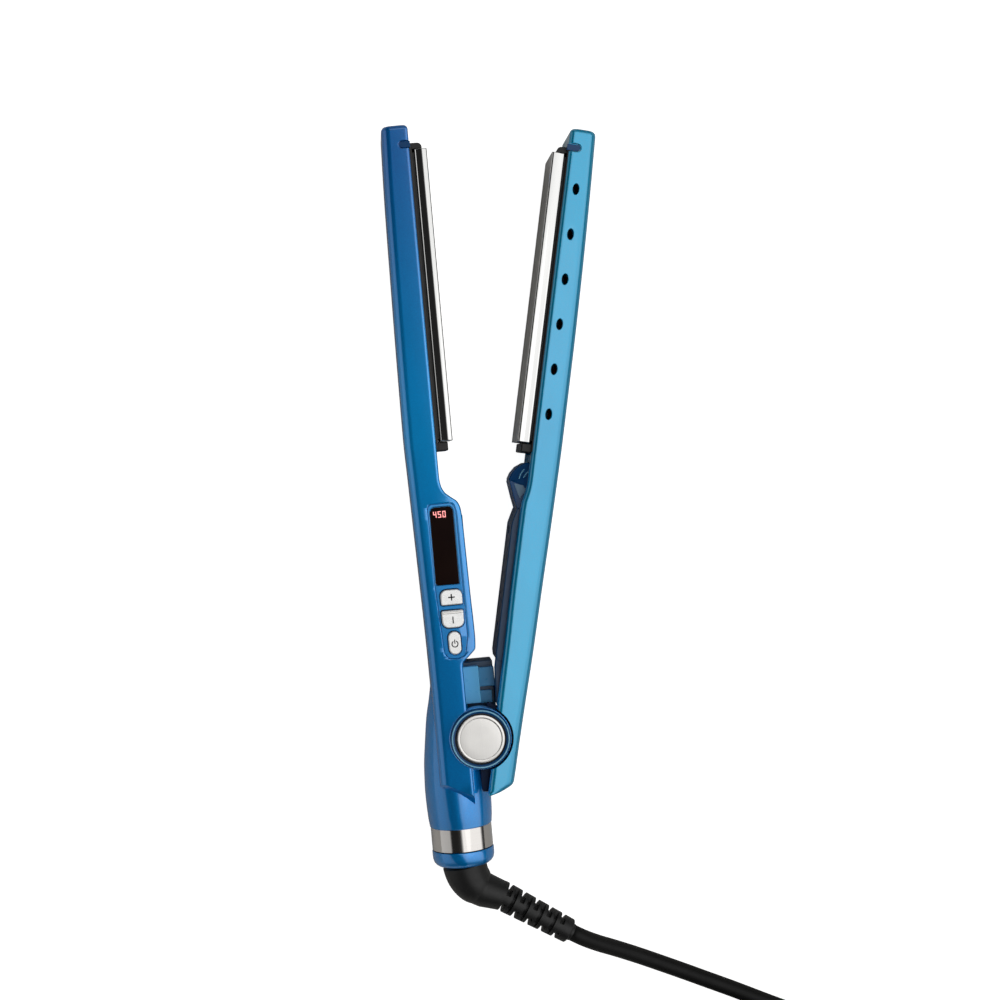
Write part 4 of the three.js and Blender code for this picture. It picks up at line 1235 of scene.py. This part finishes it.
def make_boot():
    """Ribbed strain relief: slots at the two sides, and between them slots at front and back."""
    length = (BOOT_END - BOOT_START).length
    pitch = length / BOOT_RIBS
    boot = turned("boot", [(6.4, -1.5), (6.4, 0), (5.4, length - 0.4), (5.0, length)],
                  BOOT_START, BOOT_DIR, 64)
    axes = Matrix((BOOT_DIR, BOOT_SIDE, (0, 0, 1))).transposed().to_4x4()
    place = Matrix.Translation(BOOT_START * MM) @ axes
    slot = 2.15
    whole = (-9, 9)
    for i in range(BOOT_RIBS):
        start = i * pitch + 0.02
        middle = start + pitch / 2
        for part in ((-9, -2), (2, 9)):
            gaps = [block("side_slot", (start, start + slot), part, whole, 0.25, 2)]
            if i < BOOT_RIBS - 1:
                gaps.append(block("front_slot", (middle, middle + slot * 0.8), whole, part, 0.25, 2))
            for gap in gaps:
                gap.data.transform(place)
            cut(boot, *gaps)
    core = turned("boot_core", [(3.8, -1), (3.8, length + 1.1), (3.65, length + 1.4)],
                  BOOT_START, BOOT_DIR, 48)
    return join(boot, core)


# ---- plug and tie


def make_plug():
    """A two-blade plug with finger grips, whose neck tapers to the cord. Returns its pieces."""
    x0, x1 = PLUG_LOW.x, PLUG_HIGH.x
    half = 12.4
    outline = box_outline((x0, x0 + 24.2), (PLUG_Y - half, PLUG_Y + half), 4)
    body = slab("plug_grip", outline, 0.7, 17.3, 2.6, 5)
    neck = turned("plug_neck", [(6.6, x0 + 22), (6.4, x0 + 25), (5.6, x0 + 30), (4.9, x1 - 0.6),
                                (4.4, x1)], (0, PLUG_Y, PLUG_Z), (1, 0, 0), 48)
    join(body, neck)
    for i in range(5):
        x = x0 + 6 + 3 * i
        for y in (PLUG_Y - half, PLUG_Y + half):
            cut(body, block("grip_slot", (x, x + 1.2), (y - 0.5, y + 0.5), (4, 14), 0.2, 2))
    pieces = [settle(body, "control_arm", "soft_rubber", "plug_body")]
    for i in (1, 2):
        low, high = span(f"plug_blade_{i}")
        blade = block(f"blade_{i}", (low.x, high.x + 0.5), (low.y, high.y), (low.z, high.z), 0.45)
        eye = (low.x + 3.6, 0, (low.z + high.z) / 2)
        cut(blade, turned("eye", [(1.4, low.y - 1), (1.4, high.y + 1)], eye, (0, 1, 0), 24))
        pieces.append(settle(blade, "control_arm", "brass", f"plug_blade_{i}"))
    return pieces


def make_tie():
    """A band round the coil's turns, as a soft loop with rounded corners."""
    inner = COIL_OUT_R - COIL_PITCH * (COIL_TURNS - 1) - CORD_D / 2 - 0.3
    outer = COIL_OUT_R + CORD_D / 2 + 0.2
    top = COIL_LOW_Z + COIL_PITCH + CORD_D / 2 + 0.1
    rings = []
    for s in np.linspace(-4, 4, 9):
        bulge = 0.12 * (1 - (s / 4) ** 2)
        outline = box_outline((inner - 0.8 - bulge, outer + 0.6), (0.0, top + 0.7 + bulge), 2.4, 6)
        rings.append([(p[0], s, max(p[1], 0)) for p in outline])
    hole = slab("tie_hole", box_outline((inner - 0.1, outer + 0.05), (0.65, top), 1.9, 6), -6, 6)
    hole.data.transform(Matrix.Rotation(math.radians(90), 4, "X"))
    tie = cut(loft("coil_tie", rings), hole)
    turn = Matrix.Rotation(math.radians(200), 4, "Z")
    tie.data.transform(Matrix.Translation(Vector((COIL_X, COIL_Y, 0)) * MM) @ turn)
    return settle(tie, "control_arm", "soft_rubber", "cord_tie")


# ---- carried-over CAD nodes


def finish_cad_nodes():
    """Each carried-over node names its own slot in the material that came with it."""
    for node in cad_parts.values():
        if not node.hide_render:
            slot = node.data.materials[0].name.split(".")[0]
            node.data.materials[0] = LOOKS[slot]


# ---- floor and light


def make_floor():
    """A white sheet. The lens sees it lit from below; everything else sees a soft grey sheet."""
    size = 3000
    corners = [(-size, -size), (size, -size), (size, size), (-size, size)]
    floor = add_mesh("floor", [(x, y, -0.05) for x, y in corners], [(0, 1, 2, 3)])
    look = Look("floor", Specular_IOR_Level=0.0, Emission_Color=(1, 1, 1, 1))
    look.color(look.noise(0.002), (0.60, 0.59, 0.565), (0.62, 0.61, 0.585))
    look.rough(look.noise(0.02), 0.7, 0.8)
    to_lens = look.add("LightPath", {})["Is Camera Ray"]
    lit = look.add("Math", {0: to_lens, 1: 0.95}, operation="MULTIPLY")["Value"]
    look.set(Emission_Strength=lit)
    floor.data.materials.append(look.material)


def make_lamp():
    """A soft lamp beside the hinge, so that the tips are a little darker than the handle."""
    data = bpy.data.lights.new("key", "AREA")
    data.shape = "DISK"
    data.size = 0.45
    data.energy = 0.12
    lamp = add_object("key", data)
    lamp.location = Vector((190, 40, 560)) * MM
    towards = Vector((10, 60, 20)) * MM - lamp.location
    lamp.rotation_euler = towards.to_track_quat("-Z", "Y").to_euler()


# Brightness of the studio by how far a direction leans from straight up towards +X, in degrees.
STUDIO = [(-180, 0.5), (-99, 0.5), (-54, 0.42), (-48, 0.015), (-24, 0.015), (-14, 0.03), (-9, 0.22),
          (-4, 1.0), (66, 1.0), (75, 0.05), (91, 0.05), (93, 0.5), (180, 0.45)]
# The same by how far it points along the object, as the size of its Y part.
ENDWAYS = [(0.0, 1.0), (0.2, 0.86), (0.45, 0.72), (0.75, 0.12), (0.88, 0.12), (1.0, 0.5)]
SLANT = 0.45  # how far the light's edges turn from the Y axis
LIGHT = 1.35


def make_studio():
    """A soft tent of light: a long bright panel over the right side and a grey card on the left."""
    world = bpy.data.worlds.new("studio")
    bpy.context.scene.world = world
    world.use_nodes = True
    tree = world.node_tree
    towards = add_node(tree, "TexCoord", {})["Generated"]
    parts = add_node(tree, "SeparateXYZ", {"Vector": towards})
    lean = add_node(tree, "Math", {0: parts["X"], 1: parts["Z"]}, operation="ARCTAN2")["Value"]
    inputs = {0: parts["Y"], 1: SLANT, 2: lean}
    skew = add_node(tree, "Math", inputs, operation="MULTIPLY_ADD")["Value"]
    inputs = {"Value": skew, "From Min": -math.pi, "From Max": math.pi}
    share = add_node(tree, "MapRange", inputs)["Result"]
    across = ramp_of(tree, share, [((degrees + 180) / 360, level) for degrees, level in STUDIO])
    side = add_node(tree, "Math", {0: parts["Y"]}, operation="ABSOLUTE")["Value"]
    inputs = {"Factor": 1, "A": across, "B": ramp_of(tree, side, ENDWAYS)}
    both = add_node(tree, "Mix", inputs, data_type="RGBA", blend_type="MULTIPLY")["Result"]
    to_lens = add_node(tree, "LightPath", {})["Is Camera Ray"]
    inputs = {"Factor": to_lens, "A": both, "B": (1, 1, 1, 1)}
    seen = add_node(tree, "Mix", inputs, data_type="RGBA")["Result"]
    fill(tree, tree.nodes["Background"], {"Color": seen, "Strength": LIGHT})
    bpy.context.scene.view_settings.view_transform = "Standard"


# ---- assembly

make_main_shell()
make_hinge_block()
make_panel()
make_display()
make_keys()
make_lever_shell()
make_gap_shades()
make_lever_liner()
make_finger_stop()
make_knuckles()
make_tongues()
make_plates()
make_hinge_trim()
make_barrel()
make_elbow()
plug_pieces = make_plug()
tie = make_tie()
finish_cad_nodes()
make_floor()
make_studio()
make_lamp()
